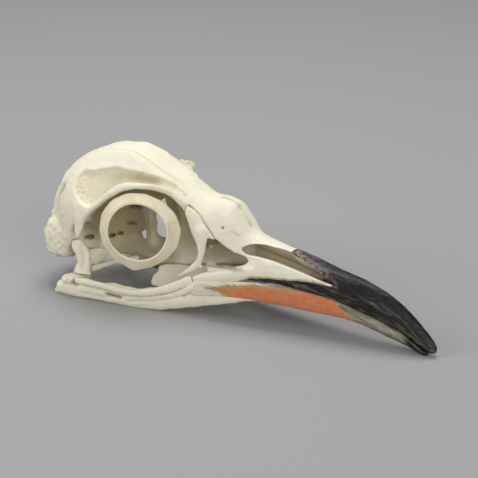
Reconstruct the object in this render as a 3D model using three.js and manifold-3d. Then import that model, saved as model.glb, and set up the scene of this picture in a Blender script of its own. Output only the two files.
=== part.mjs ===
// The skull of a great penguin with its horn bill, closed and resting on the lower jaw and the bill's tip.
// Millimetres, +Z up. The bill points along +X, +Y is the animal's left, and the floor is z = 0.
// Places along the skull are counted from the back of the ear region (x = 0) to the tip (x = 200),
// and the whole group is then shifted so that the origin lies under the middle of the skull.
import * as THREE from "three";
import { mergeVertices } from "three/addons/utils/BufferGeometryUtils.js";
import Module from "manifold-3d";

const wasm = await Module();
wasm.setup();
const { Manifold, Mesh } = wasm;

const MIDDLE = 99; // x of the skull's middle, which becomes the origin
const GAP = 0.35; // clear space between two bones that touch
const RIGHT = -1;
const LEFT = 1;

// Driving sizes
const CREST_OUT = 7.5; // the two long swellings of the roof lie this far from the midline
const CREST_BROAD = 5;
const ORBIT = { x: 60, z: 34, open: 36 }; // the middle that each orbit narrows to, and how far out it reaches
const RING = { x: 58.4, y: 21, z: 37.6, outer: 18.3, inner: 13.3, rise: 3.4, wall: 1.1, forward: 20, upward: 7 };
const SEPTUM_HALF = 1.1; // half the thickness of the wall between the orbits
const HINGE_X = 107.5; // where the bony bill is parted from the forehead
const HORN_TOP_X = 128; // where the horn starts on the ridge of the bill
const TIP_X = 200;

// Smooth curves through a few stations

// Reads a list of stations, each with x and other sizes, and gives those sizes at any x.
// Each size follows a cubic whose slopes never overshoot the stations.
function alongX(stations) {
  const names = Object.keys(stations[0]).filter((n) => n !== "x");
  const slopes = {};
  for (const n of names) {
    const steps = stations.slice(1).map((s, i) => (s[n] - stations[i][n]) / (s.x - stations[i].x));
    slopes[n] = stations.map((_, i) => {
      if (i === 0) return steps[0];
      if (i === stations.length - 1) return steps[i - 1];
      const [a, b] = [steps[i - 1], steps[i]];
      return a * b <= 0 ? 0 : (2 * a * b) / (a + b);
    });
  }
  return (x) => {
    const last = stations.length - 2;
    const i = Math.min(Math.max(stations.findLastIndex((s) => s.x <= x), 0), last);
    const [s, e] = [stations[i], stations[i + 1]];
    const span = e.x - s.x;
    const t = Math.min(Math.max((x - s.x) / span, 0), 1);
    const out = {};
    for (const n of names) {
      out[n] =
        s[n] * (1 + 2 * t) * (1 - t) ** 2 +
        e[n] * t * t * (3 - 2 * t) +
        span * (slopes[n][i] * t * (1 - t) ** 2 - slopes[n][i + 1] * t * t * (1 - t));
    }
    return out;
  };
}

const power = (v, p) => Math.sign(v) * Math.abs(v) ** p;
const bell = (v, centre, width) => Math.exp(-(((v - centre) / width) ** 2));
const smooth = (t) => {
  const c = Math.min(Math.max(t, 0), 1);
  return c * c * (3 - 2 * c);
};

// Closed surfaces

// A closed skin: rings of points point(u, v), with v running round, closed by a point at each end.
function skin(rings, round, point) {
  const places = [];
  for (let i = 0; i <= rings; i++) {
    for (let j = 0; j < round; j++) places.push(...point(i / rings, j / round));
  }
  const centre = (i) => {
    const sum = [0, 0, 0];
    for (let j = 0; j < round; j++) {
      for (let k = 0; k < 3; k++) sum[k] += places[(i * round + j) * 3 + k] / round;
    }
    return sum;
  };
  const firstPole = places.length / 3;
  places.push(...centre(0), ...centre(rings));
  const faces = [];
  for (let j = 0; j < round; j++) {
    const next = (j + 1) % round;
    faces.push(firstPole, next, j);
    faces.push(firstPole + 1, rings * round + j, rings * round + next);
    for (let i = 0; i < rings; i++) {
      const [a, b, c, d] = [i * round + j, i * round + next, (i + 1) * round + j, (i + 1) * round + next];
      faces.push(a, b, d, a, d, c);
    }
  }
  const geometry = new THREE.BufferGeometry();
  geometry.setAttribute("position", new THREE.Float32BufferAttribute(places, 3));
  geometry.setIndex(faces);
  return geometry;
}

// A geometry as a solid, turned so that its faces point out.
function solid(geometry) {
  const bare = geometry.clone();
  bare.deleteAttribute("normal");
  bare.deleteAttribute("uv");
  const merged = mergeVertices(bare, 1e-4);
  const faces = new Uint32Array(merged.index.array);
  const build = () =>
    new Manifold(
      new Mesh({ numProp: 3, vertProperties: new Float32Array(merged.attributes.position.array), triVerts: faces }),
    );
  const made = build();
  if (made.volume() > 0) return made;
  for (let i = 0; i < faces.length; i += 3) [faces[i + 1], faces[i + 2]] = [faces[i + 2], faces[i + 1]];
  return build();
}

const join = (...pieces) => pieces.flat().reduce((a, b) => a.add(b));
const cut = (whole, ...tools) => tools.flat().reduce((a, b) => a.subtract(b), whole);

// The largest closed surface of a solid, so that no loose scrap stays.
function largest(whole) {
  const bodies = whole.decompose().filter((b) => b.volume() > 0);
  return bodies.reduce((a, b) => (b.volume() > a.volume() ? b : a));
}

// A bone carried along a smooth route. Each key is [x, y, z, half width, half height]: the width lies
// across the route and level with the floor, or across "up" where that is given.
function bone(keys, { side = 1, grow = 0, steps = 16, round = 10, up = [0, 0, 1], square = 1 } = {}) {
  const route = new THREE.CatmullRomCurve3(
    keys.map(([x, y, z]) => new THREE.Vector3(x, side * y, z)),
    false,
    "centripetal",
  );
  const upward = new THREE.Vector3(...up);
  const last = keys.length - 1;
  const size = (t, k) => {
    const i = Math.min(Math.floor(t * last), last - 1);
    const f = smooth(t * last - i);
    return keys[i][k] * (1 - f) + keys[i + 1][k] * f + grow;
  };
  return solid(
    skin(steps, round, (t, v) => {
      const along = route.getTangent(t);
      const across = new THREE.Vector3().crossVectors(along, upward).normalize();
      const over = new THREE.Vector3().crossVectors(across, along);
      const angle = 2 * Math.PI * v;
      const at = route
        .getPoint(t)
        .addScaledVector(across, size(t, 3) * power(Math.cos(angle), square))
        .addScaledVector(over, size(t, 4) * power(Math.sin(angle), square))
        .addScaledVector(along, grow * (2 * t - 1));
      return at.toArray();
    }),
  );
}

// An egg: a ball stretched to three half sizes, squarer where full is over 2.
function egg({ x, y, z, rx, ry, rz, full = 2 }, { side = 1, grow = 0, rings = 12, round = 18 } = {}) {
  const p = 2 / full;
  return solid(
    skin(rings, round, (t, v) => {
      const polar = Math.PI * (0.02 + 0.96 * t);
      const angle = 2 * Math.PI * v;
      const waist = power(Math.sin(polar), p);
      return [
        x + (rx + grow) * waist * power(Math.cos(angle), p),
        side * y + (ry + grow) * waist * power(Math.sin(angle), p),
        z - (rz + grow) * power(Math.cos(polar), p),
      ];
    }),
  );
}

// A block whose side view is the outline [x, z], closed by a smooth curve where curved is set, from y0 to y1.
function slab(outline, y0, y1, { curved = false, points = 24 } = {}) {
  const corners = outline.map(([x, z]) => new THREE.Vector2(x, z));
  const shape = new THREE.Shape(corners);
  if (curved) {
    const loop = new THREE.CatmullRomCurve3(
      outline.map(([x, z]) => new THREE.Vector3(x, z, 0)),
      true,
      "centripetal",
    );
    shape.setFromPoints(loop.getPoints(points).slice(0, -1).map((p) => new THREE.Vector2(p.x, p.y)));
  }
  const [low, high] = [Math.min(y0, y1), Math.max(y0, y1)];
  const geometry = new THREE.ExtrudeGeometry(shape, { depth: high - low, bevelEnabled: false });
  geometry.rotateX(Math.PI / 2);
  geometry.translate(0, high, 0);
  return solid(geometry);
}

// A side view with every edge moved out by the same distance.
function grown(outline, by) {
  const count = outline.length;
  const edges = outline.map(([x, z], i) => {
    const [nextX, nextZ] = outline[(i + 1) % count];
    const long = Math.hypot(nextX - x, nextZ - z);
    return [(nextX - x) / long, (nextZ - z) / long];
  });
  const twiceArea = outline.reduce((sum, [x, z], i) => {
    const [nextX, nextZ] = outline[(i + 1) % count];
    return sum + x * nextZ - nextX * z;
  }, 0);
  const out = Math.sign(twiceArea) * by;
  return outline.map(([x, z], i) => {
    const [a, b] = [edges[(i + count - 1) % count], edges[i]];
    const share = out / Math.max(1 + a[0] * b[0] + a[1] * b[1], 0.35);
    return [x + (a[1] + b[1]) * share, z - (a[0] + b[0]) * share];
  });
}

const box = (x0, x1, y0, y1, z0, z1) =>
  solid(new THREE.BoxGeometry(x1 - x0, y1 - y0, z1 - z0).translate((x0 + x1) / 2, (y0 + y1) / 2, (z0 + z1) / 2));

// The outer form of the skull and upper bill, as if nothing were hollow. At each place along it: half is
// half the width, side the height where it is widest, top and base the heights of roof and underside,
// crest the height of the two long swellings, and arch and keel how square the roof and underside are.
const FORM = alongX([
  { x: -1.2, half: 3.5, side: 35, top: 38, base: 31, crest: 0, arch: 2, keel: 2 },
  { x: 0.4, half: 8, side: 34, top: 43, base: 25, crest: 0, arch: 2, keel: 2 },
  { x: 3, half: 11.5, side: 34, top: 47.2, base: 20, crest: 0, arch: 2, keel: 2 },
  { x: 7, half: 15, side: 35, top: 52.6, base: 17, crest: 0, arch: 2, keel: 2 },
  { x: 12, half: 20, side: 37, top: 58.6, base: 15.5, crest: 0.2, arch: 2, keel: 2 },
  { x: 18, half: 23.6, side: 38, top: 62.6, base: 15.5, crest: 0.8, arch: 2, keel: 2 },
  { x: 25, half: 25.8, side: 39, top: 65.2, base: 16, crest: 1.8, arch: 2, keel: 2 },
  { x: 33, half: 27, side: 42.5, top: 66.6, base: 16, crest: 3, arch: 1.9, keel: 2 },
  { x: 40, half: 26, side: 49, top: 66.6, base: 16, crest: 3.8, arch: 1.8, keel: 2 },
  { x: 47, half: 23.5, side: 55, top: 65.2, base: 15.5, crest: 5, arch: 1.8, keel: 2 },
  { x: 54, half: 20.6, side: 57.6, top: 62.6, base: 15, crest: 4.8, arch: 2, keel: 2 },
  { x: 60, half: 17.8, side: 57.6, top: 60.2, base: 15, crest: 4, arch: 2.4, keel: 2 },
  { x: 67, half: 15, side: 55.6, top: 58.2, base: 15.5, crest: 2.6, arch: 2.4, keel: 2 },
  { x: 73, half: 13.2, side: 51.6, top: 57.2, base: 17, crest: 1, arch: 2, keel: 2.4 },
  { x: 79, half: 12.7, side: 46, top: 55.8, base: 18.5, crest: 0.3, arch: 1.9, keel: 3 },
  { x: 86, half: 13.1, side: 39, top: 53.8, base: 19, crest: 0.4, arch: 1.9, keel: 4 },
  { x: 93, half: 13.1, side: 34, top: 53.6, base: 19.3, crest: 0.9, arch: 2, keel: 5 },
  { x: 98, half: 12.7, side: 30, top: 52.6, base: 19.6, crest: 1, arch: 2, keel: 5 },
  { x: 103, half: 12.3, side: 26, top: 46.8, base: 20, crest: 0.6, arch: 2.1, keel: 5 },
  { x: 108, half: 11.7, side: 23.4, top: 40.6, base: 20.4, crest: 0.2, arch: 2, keel: 5 },
  { x: 118, half: 10.6, side: 22.6, top: 37.4, base: 21, crest: 0, arch: 2.1, keel: 5 },
  { x: 129, half: 9.4, side: 22.2, top: 35.3, base: 21, crest: 0, arch: 2.4, keel: 5 },
  { x: 140, half: 8.2, side: 21.4, top: 32.9, base: 20.3, crest: 0, arch: 2.5, keel: 5 },
  { x: 151, half: 7, side: 20, top: 30.4, base: 19, crest: 0, arch: 2.4, keel: 5 },
  { x: 161, half: 6.1, side: 17.8, top: 28.8, base: 16.6, crest: 0, arch: 2.3, keel: 5 },
  { x: 171, half: 5.2, side: 15, top: 26.1, base: 14, crest: 0, arch: 2.1, keel: 5 },
  { x: 180, half: 4.4, side: 12, top: 22.2, base: 11, crest: 0, arch: 2, keel: 4 },
  { x: 188, half: 3.5, side: 8.6, top: 16.8, base: 7.2, crest: 0, arch: 2, keel: 3 },
  { x: 194, half: 2.7, side: 5.6, top: 11.4, base: 3.6, crest: 0, arch: 2, keel: 2.5 },
  { x: 198, half: 1.9, side: 4, top: 7.5, base: 1.4, crest: 0, arch: 2, keel: 2.2 },
  { x: 200, half: 0.9, side: 3.6, top: 5, base: 2, crest: 0, arch: 2, keel: 2 },
]);

// A point on the outer form: x, and the angle from the widest line up over the roof.
function formPoint(x, angle) {
  const f = FORM(x);
  const [c, s] = [Math.cos(angle), Math.sin(angle)];
  const above = s >= 0;
  const p = 2 / (above ? f.arch : f.keel);
  const tall = above ? f.top - f.side : f.side - f.base;
  const y = f.half * power(c, p);
  let z = f.side + tall * power(s, p);
  if (above) z += f.crest * bell(Math.abs(y), CREST_OUT, CREST_BROAD);
  return [x, y, z];
}

function formNormal(x, angle) {
  const step = 0.02;
  const at = new THREE.Vector3(...formPoint(x, angle));
  const along = new THREE.Vector3(...formPoint(x + step, angle)).sub(at);
  const over = new THREE.Vector3(...formPoint(x, angle + step)).sub(at);
  return new THREE.Vector3().crossVectors(along, over).normalize();
}

// Rings stand close together over the braincase and further apart along the bill.
const FORM_X = [-1.2, -0.6, 0.8, 2.8, 5.2];
for (let x = 8.4; x < 110; x += 3.8) FORM_X.push(x);
for (let x = 115; x < 197; x += 8) FORM_X.push(x);
FORM_X.push(198.4, TIP_X);

const outerForm = () =>
  solid(skin(FORM_X.length - 1, 26, (t, v) => formPoint(FORM_X[Math.round(t * (FORM_X.length - 1))], 2 * Math.PI * v)));

// The gland hollow above each orbit: a long comma sunk into the roof, broad behind and narrow in front.
// Angles are in degrees round the outer form.
const GLAND = alongX([
  { x: 22, angle: 38, broad: 5, deep: 0.3 },
  { x: 25, angle: 37, broad: 14, deep: 1.1 },
  { x: 30, angle: 32, broad: 18.5, deep: 1.7 },
  { x: 36, angle: 30, broad: 23, deep: 2 },
  { x: 42, angle: 32, broad: 21, deep: 2 },
  { x: 48, angle: 35, broad: 15, deep: 1.8 },
  { x: 54, angle: 38, broad: 13, deep: 1.6 },
  { x: 60, angle: 41.5, broad: 12.4, deep: 1.4 },
  { x: 66, angle: 42.5, broad: 12, deep: 1.1 },
  { x: 72, angle: 42.5, broad: 10, deep: 0.8 },
  { x: 77.5, angle: 43, broad: 5, deep: 0.3 },
]);

function gland(side) {
  return solid(
    skin(13, 8, (t, v) => {
      const x = 22 + 55.5 * t;
      const g = GLAND(x);
      const turn = 2 * Math.PI * v;
      const angle = ((g.angle + g.broad * power(Math.cos(turn), 0.6)) * Math.PI) / 180;
      const at = new THREE.Vector3(...formPoint(x, angle));
      at.addScaledVector(formNormal(x, angle), g.deep * power(Math.sin(turn), 0.6));
      return [at.x, side * at.y, at.z];
    }),
  );
}

// Openings of the skull

// The edge of the orbit as seen from the side, open below.
const ORBIT_EDGE = [
  [29.8, 31], [30.6, 38], [33, 41.7], [37.9, 46.2], [43.6, 51.2], [49, 54.8], [56, 56.8], [62.4, 56.9], [68.6, 55.6],
  [73.8, 53], [77.8, 49.4], [80, 45], [82.2, 39], [85, 34], [86, 28], [85, 20], [80, 11], [70, 5], [56, 4],
  [44, 5], [36, 10], [31.4, 20],
];

// How large the orbit is at each distance from the midline, against its open edge.
const ORBIT_SIZE = alongX([
  { x: SEPTUM_HALF, size: 0.6 },
  { x: 3, size: 0.72 },
  { x: 7, size: 0.86 },
  { x: 12, size: 0.95 },
  { x: 18, size: 0.99 },
  { x: ORBIT.open, size: 1 },
]);

function orbit(side) {
  const edge = new THREE.CatmullRomCurve3(
    ORBIT_EDGE.map(([x, z]) => new THREE.Vector3(x, 0, z)),
    true,
    "centripetal",
  );
  const out = [SEPTUM_HALF, 2.6, 5.4, 10, 17, ORBIT.open];
  return solid(
    skin(out.length - 1, 26, (t, v) => {
      const y = out[Math.round(t * (out.length - 1))];
      const p = edge.getPoint(v);
      const { size } = ORBIT_SIZE(y);
      return [ORBIT.x + (p.x - ORBIT.x) * size, side * y, ORBIT.z + (p.z - ORBIT.z) * size];
    }),
  );
}

// The opening in front of each orbit, between the lacrimal and the bar of the nasal bone.
const FENESTRA = [
  [84, 40], [86, 37.8], [95, 37.4], [98, 35.5], [101.2, 33.9], [105.8, 32.1], [109, 31.2], [110.3, 29.4],
  [108, 27.6], [103.7, 25.9], [98.3, 24.4], [84, 23],
];

// The nostril: a long slot from the nasal bar to the horn.
const NARIS = [
  [106.2, 34.6], [108.8, 36.4], [114, 36.9], [120, 36.3], [126, 35.6], [132, 34.2], [139, 31.4], [146, 28.2],
  [152.5, 25.2], [147, 26.2], [139.5, 28], [131.6, 29.5], [123, 31], [114, 32], [108.6, 32.6],
];

// The room inside the bill, with its roof and floor, left of the midline wall and right of it.
function noseCavity(side) {
  return solid(
    skin(9, 8, (t, v) => {
      const x = 84 + 68 * t;
      const f = FORM(x);
      const out = Math.max(f.half - 2, 1.8);
      const high = Math.min(f.top - 4.4, 40);
      const low = Math.max(f.base + 4.6, 24);
      const turn = 2 * Math.PI * v;
      const y = (0.9 + out) / 2 + ((out - 0.9) / 2) * power(Math.cos(turn), 0.5);
      return [x, side * y, (high + low) / 2 + ((high - low) / 2) * power(Math.sin(turn), 0.5)];
    }),
  );
}

// The space between the two sides of the palate.
const palateGap = () => slab([[66, 8], [66, 14.6], [84, 24.6], [100, 26], [112, 25], [112, 8]], -11, 11);

// The keel that runs forward from the braincase under the wall between the orbits.
const keel = () =>
  bone(
    [
      [34, 0, 18.6, 5, 2.8], [44, 0, 17.6, 3, 2], [54, 0, 16.6, 2.2, 1.7], [66, 0, 16.8, 1.9, 1.7],
      [78, 0, 19.6, 1.5, 1.6], [96, 0, 23.6, 1.2, 1.6], [110, 0, 25.6, 1, 1.4],
    ],
    { steps: 9, round: 8 },
  );

const midWall = () =>
  slab([[72, 40], [72, 17.5], [80, 19.8], [100, 24], [112, 25.8], [112, 38], [100, 42], [80, 42]], -0.9, 0.9);

// The windows in the wall between the orbits: a large oval one and a small three-cornered one behind it.
const septumWindows = () => [
  slab([[54.4, 28.4], [59.6, 27.2], [64.4, 30], [66.4, 36.4], [64.2, 42.6], [58.6, 46.6], [54.8, 43], [53.6, 36]], -9, 9, {
    curved: true,
  }),
  slab([[43.4, 25.8], [48.4, 24], [48.6, 30]], -9, 9),
];

// Holes for nerves and vessels in the back wall of each orbit, as [x, y, z, half length, half height].
const FORAMINA = [
  [44.4, 3.4, 40, 3.4, 2],
  [40.6, 3.6, 31, 1.6, 1.2],
  [37.4, 6, 26.2, 1.5, 1.1],
  [28.4, 16, 25, 2.2, 1.5],
];

const foramen = (side, [x, y, z, long, high]) =>
  egg({ x, y, z, rx: long, ry: 5, rz: high }, { side, rings: 4, round: 7 });

// Parts of the braincase, one of each side

const orbitRim = (side) =>
  bone(
    [
      [29.8, 26.2, 37.4, 1.2, 1.4], [33, 26.5, 42.6, 1.3, 1.2], [38, 25.9, 47.5, 1.3, 1.1], [44, 24, 53, 1.3, 1.1],
      [51, 20.8, 57, 1.3, 1.1], [57.6, 18, 58.2, 1.3, 1.1], [64.4, 15.2, 57.9, 1.3, 1.1], [70.6, 13, 55.9, 1.3, 1.1],
      [75.6, 12, 52.8, 1.2, 1.1], [78, 11.8, 50.6, 1, 1],
    ],
    { side, steps: 14, round: 6, up: [0.2, side * 0.3, 1] },
  );

// The spike behind the orbit, with the ridge that runs down to it along the back of the gland hollow.
const postorbitalSpike = (side) =>
  bone(
    [
      [24, 23.4, 47.4, 1, 0.8], [26.4, 24.8, 44, 1.8, 1.2], [28, 25.7, 40, 2.4, 1.5],
      [28.6, 26.2, 36, 2, 1.3], [28.2, 26.7, 32.6, 1.2, 0.9], [27.4, 26.8, 29.4, 0.35, 0.35],
    ],
    { side, steps: 9, round: 6, up: [0, 1, 0] },
  );

// The crest at the back, from the crown down to the ear region.
const nuchalCrest = (side) =>
  bone(
    [
      [9.6, 7, 54, 1, 0.7], [11.2, 12.6, 51.4, 1.6, 1], [13, 17.2, 47, 1.8, 1],
      [15, 20, 42, 1.8, 1], [18.6, 22, 36.4, 1.8, 1.2],
    ],
    { side, steps: 8, round: 6, up: [1, 0, 0] },
  );

const earBlock = (side) =>
  join(
    egg({ x: 9.6, y: 13, z: 23, rx: 9, ry: 8, rz: 10.6, full: 2.7 }, { side, rings: 7, round: 10 }),
    bone(
      [
        [9, 11, 36, 4.6, 5.6], [8, 11.6, 31, 5, 6.4], [8.6, 12.6, 26, 5, 6.6],
      ],
      { side, steps: 4, round: 10, up: [1, 0, 0] },
    ),
    bone(
      [[19.4, 20.6, 36.6, 2.6, 2.4], [18.6, 20.6, 30, 2.6, 3], [15.6, 19.4, 23, 2.2, 3.2], [11.4, 17.4, 17, 1.4, 2.4]],
      { side, steps: 6, round: 8, up: [1, 0, 0] },
    ),
  );

// The hollow of the ear under the spike, where the quadrate hangs.
const earHollow = (side) =>
  egg({ x: 29.5, y: 24, z: 24.5, rx: 8.4, ry: 11, rz: 12.4, full: 2.2 }, { side, rings: 7, round: 12 });

// The side of the upper jaw that the jugal bar meets.
const maxilla = (side) =>
  bone(
    [
      [83, 16.9, 16.2, 0.9, 2], [90, 14.9, 18.8, 1.4, 2.8], [98, 13.3, 20.9, 1.6, 3], [106, 11.9, 22.9, 1.6, 3.2],
      [114, 10.4, 25.2, 1.4, 2.6],
    ],
    { side, steps: 7, round: 8 },
  );

// The left edge of the roof in front of the crest is broken away, and its ends stand up as two rough knobs.
const brokenEdge = () =>
  bone(
    [
      [60.5, 20, 57, 1.5, 4], [65, 17, 57.4, 3.4, 5], [71, 14.4, 55.6, 4, 5], [77, 13.6, 52, 3.4, 4.4], [82, 14.6, 48.6, 1.6, 3],
    ],
    { steps: 10, round: 8, up: [0, -0.5, 1] },
  );

const brokenKnobs = () =>
  join(
    bone([[54, 19, 57.6, 1.6, 1.2], [58.4, 17.8, 58.4, 2, 1.6], [62.6, 17, 58.6, 1.6, 2]], { steps: 6, round: 8 }),
    bone([[60, 15.6, 57, 1.6, 1.4], [65, 14, 56.4, 1.1, 1.1]], { steps: 3, round: 6 }),
  );

function skullAndBill() {
  const sides = [RIGHT, LEFT];
  let whole = cut(outerForm(), sides.map(gland), sides.map(orbit), sides.map(earHollow), palateGap());
  whole = cut(whole, sides.map(noseCavity), septumWindows());
  for (const side of sides) {
    whole = cut(whole, slab(FENESTRA, side * 4, side * 30), slab(NARIS, side * 2, side * 30));
    whole = cut(whole, FORAMINA.map((f) => foramen(side, f)));
    whole = join(whole, orbitRim(side), postorbitalSpike(side), nuchalCrest(side), earBlock(side), maxilla(side));
  }
  whole = join(cut(whole, brokenEdge()), brokenKnobs());
  const underBrow = egg({ x: 8, y: 0, z: 20, rx: 8, ry: 10, rz: 4.6 }, { rings: 8, round: 14 });
  const cord = egg({ x: -2, y: 0, z: 23.4, rx: 12, ry: 5.2, rz: 4.6 }, { rings: 8, round: 14 });
  const condyle = egg({ x: 1.4, y: 0, z: 18, rx: 3.4, ry: 2.8, rz: 2.4 }, { rings: 8, round: 10 });
  return join(cut(join(whole, underBrow), cord), condyle, keel(), midWall());
}

// The horn of the upper bill: everything in front of a slanting line down from the ridge, and a strip along
// the cutting edge. Grown by the gap, it is what the bone leaves free.
const UPPER_HORN = [
  [HORN_TOP_X, 60], [HORN_TOP_X, 34.6], [134, 32.2], [143, 29.2], [150, 26.8], [153.8, 25.4], [153.4, 24.4], [149.6, 24.9],
  [138, 25.2], [126, 24], [113, 22.6], [108.5, 20], [108.5, -10], [230, -10], [230, 60],
];

const hornZone = (grow = 0) => slab(grown(UPPER_HORN, grow), -40, 40);

// The lower jaw: at each place along it, the distance out from the midline, its lower and upper edge, and
// half its thickness

const JAW = alongX([
  { x: 14.6, out: 26.4, low: -0.3, high: 2.6, thick: 2 },
  { x: 18, out: 26.2, low: -0.4, high: 6.2, thick: 2.6 },
  { x: 22, out: 26, low: -0.4, high: 8.6, thick: 3.4 },
  { x: 28, out: 25.8, low: -0.2, high: 8.2, thick: 3.2 },
  { x: 37, out: 25.4, low: 0.2, high: 8.6, thick: 2 },
  { x: 46, out: 24.6, low: 0.2, high: 10.4, thick: 1.9 },
  { x: 56, out: 22.8, low: -0.3, high: 9.4, thick: 2 },
  { x: 67, out: 20.6, low: 0.2, high: 11.4, thick: 2 },
  { x: 78, out: 18.4, low: 2.4, high: 15, thick: 1.9 },
  { x: 88, out: 16.4, low: 4.9, high: 17.4, thick: 1.8 },
  { x: 102, out: 13.9, low: 8.6, high: 19.4, thick: 1.7 },
  { x: 117, out: 11.2, low: 12.1, high: 20.7, thick: 1.7 },
  { x: 129, out: 9, low: 11.8, high: 20.7, thick: 1.7 },
  { x: 140, out: 7.2, low: 11.2, high: 19.9, thick: 1.7 },
  { x: 151, out: 5.6, low: 10.9, high: 18.6, thick: 1.7 },
  { x: 161, out: 4.4, low: 10.1, high: 16.2, thick: 1.8 },
  { x: 171, out: 3, low: 7.8, high: 13.5, thick: 2.1 },
  { x: 180, out: 1.6, low: 4.9, high: 10.5, thick: 2.6 },
  { x: 188, out: 0.6, low: 2.6, high: 6.6, thick: 2.6 },
  { x: 193, out: 0.2, low: 0.4, high: 3.4, thick: 2 },
  { x: 196, out: 0, low: -0.5, high: 1.6, thick: 1.2 },
]);

function ramus(side, rings = 34, round = 10) {
  return solid(
    skin(rings, round, (t, v) => {
      const x = 14.6 + (196 - 14.6) * t;
      const j = JAW(x);
      const angle = 2 * Math.PI * v;
      const mid = (j.high + j.low) / 2;
      return [
        x,
        side * j.out + j.thick * power(Math.cos(angle), 0.8),
        mid + ((j.high - j.low) / 2) * power(Math.sin(angle), 0.8),
      ];
    }),
  );
}

// The zone of the lower horn in the side view: a tongue behind, the whole depth of the jaw in front.
const LOWER_HORN = [
  [83, 12.2], [86, 10.6], [94, 11.4], [102, 12.4], [110, 12.6], [116, 12.4], [119, 6], [119, -10], [230, -10],
  [230, 40], [88, 40], [86, 15.4],
];

const lowerHornZone = (grow = 0) => slab(grown(LOWER_HORN, grow), -40, 40);

function articular(side) {
  return join(
    bone(
      [
        [24, 30, 8.6, 2, 1.6], [24.6, 26, 9, 4.6, 1.9], [25.6, 20, 8, 3.6, 2], [26.4, 16.6, 7, 1.2, 1.2],
      ],
      { side, steps: 10, round: 10 },
    ),
    bone([[17.6, 26.2, 4.6, 1.6, 1.6], [20.4, 26, 6.8, 2.6, 3], [24, 26, 8, 3, 2.6]], { side, steps: 5, round: 8 }),
  );
}

// The jaw is cut level at the floor, so that it rests on small flats.
const wholeJaw = (side) => cut(join(ramus(side), articular(side)), box(-20, 230, -60, 60, -10, 0));

// Bones that stand alone

function quadrate(side, grow = 0) {
  const body = bone(
    [
      [24.4, 19.6, 25.4, 3, 2], [25.6, 20, 21.4, 5.6, 2.2], [26.8, 20.6, 17.4, 4.9, 2.2], [27.2, 22, 14, 4.3, 2.4],
      [27.2, 23, 11.6, 4.6, 3],
    ],
    { side, grow, steps: 8, round: 10, up: [0, 1, 0] },
  );
  const blade = bone(
    [[21, 20.4, 21, 1.4, 1.6], [27, 18.6, 20.4, 1.5, 3.2], [31.4, 16.4, 20.4, 1.3, 2.6], [35.2, 13.2, 20.6, 0.9, 1.6]],
    { side, grow, steps: 6, round: 8 },
  );
  return join(body, blade);
}

function pterygoid(side, grow = 0) {
  return bone(
    [[30.4, 18.4, 12.2, 1.4, 1.5], [36, 13.4, 14.2, 1.2, 1.3], [41, 9.6, 15.2, 1.3, 1.6], [47.6, 5.6, 15.6, 1.6, 2.4]],
    { side, grow, steps: 8, round: 8 },
  );
}

function jugalBar(side, grow = 0) {
  return bone(
    [
      [27, 28.4, 8.9, 1.2, 1.6], [34, 28, 9.2, 1, 1.7], [45, 26.8, 8.6, 1, 1.6], [56, 25, 7.8, 1, 1.6],
      [66, 22.8, 9.6, 1.1, 1.8], [75, 19.8, 12.6, 1.2, 2.3], [84.4, 16.5, 16.8, 1.4, 2.7],
    ],
    { side, grow, steps: 20, round: 8 },
  );
}

// Each palatine is a thin leaf: its inner edge stands high beside the midline, its outer edge hangs low.
const PALATINE = alongX([
  { x: 56.5, near: 7.6, far: 9.6, high: 9.4, low: 7.4, thick: 0.5 },
  { x: 59, near: 4.2, far: 10.4, high: 14.6, low: 6.6, thick: 0.8 },
  { x: 66, near: 3.2, far: 10.6, high: 16.6, low: 7.8, thick: 0.8 },
  { x: 74, near: 2.6, far: 10, high: 17.4, low: 10.6, thick: 0.8 },
  { x: 84, near: 2.6, far: 9, high: 19.6, low: 15.4, thick: 0.8 },
  { x: 94, near: 3.4, far: 7.6, high: 21.6, low: 19.4, thick: 0.8 },
  { x: 106.5, near: 4.4, far: 6.6, high: 23.2, low: 22.4, thick: 0.7 },
]);

function palatine(side, grow = 0) {
  return solid(
    skin(12, 10, (t, v) => {
      const x = 56.5 - grow + (50 + 2 * grow) * t;
      const { near, far, high, low, thick } = PALATINE(x);
      const turn = 2 * Math.PI * v;
      const share = 0.5 + 0.5 * power(Math.cos(turn), 0.7);
      const y = near + (far - near) * share + grow * Math.cos(turn);
      const z = high + (low - high) * share ** 1.4 + (thick + grow) * power(Math.sin(turn), 0.9);
      return [x, side * y, z];
    }),
  );
}

// The lacrimal: the plate in front of the orbit's edge, parted from the nasal bone by a slanting seam.
const LACRIMAL = [
  [77.9, 50.6], [80.2, 49.6], [85.2, 46.8], [89.4, 42.3], [94.4, 37.4], [94.4, 35.6], [77.9, 35.6],
];

const lacrimalZone = (side, grow = 0) => slab(grown(LACRIMAL, grow), side * (9 - grow), side * 30);

const lacrimalPillar = (side, grow = 0) =>
  join(
    bone(
      [
        [86.6, 12.9, 40, 2.8, 1.3], [87.6, 13.1, 36.4, 2.6, 1.3], [87.7, 13.4, 32.6, 2.1, 1.2], [87.2, 13.7, 28.6, 1.5, 1.1],
        [85.6, 14.2, 25, 1.6, 1.1], [83.6, 14.8, 22.6, 1.6, 1.1], [80.2, 15.6, 20, 1, 0.9], [76.2, 17, 17.4, 0.4, 0.4],
      ],
      { side, grow, steps: 14, round: 6, up: [0, 1, 0] },
    ),
    bone([[85.4, 14.2, 25.4, 0.9, 1], [87, 14, 23.8, 0.9, 1.2], [88.2, 13.8, 22.9, 0.5, 0.6]], {
      side,
      grow,
      steps: 4,
      round: 6,
    }),
  );

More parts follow.
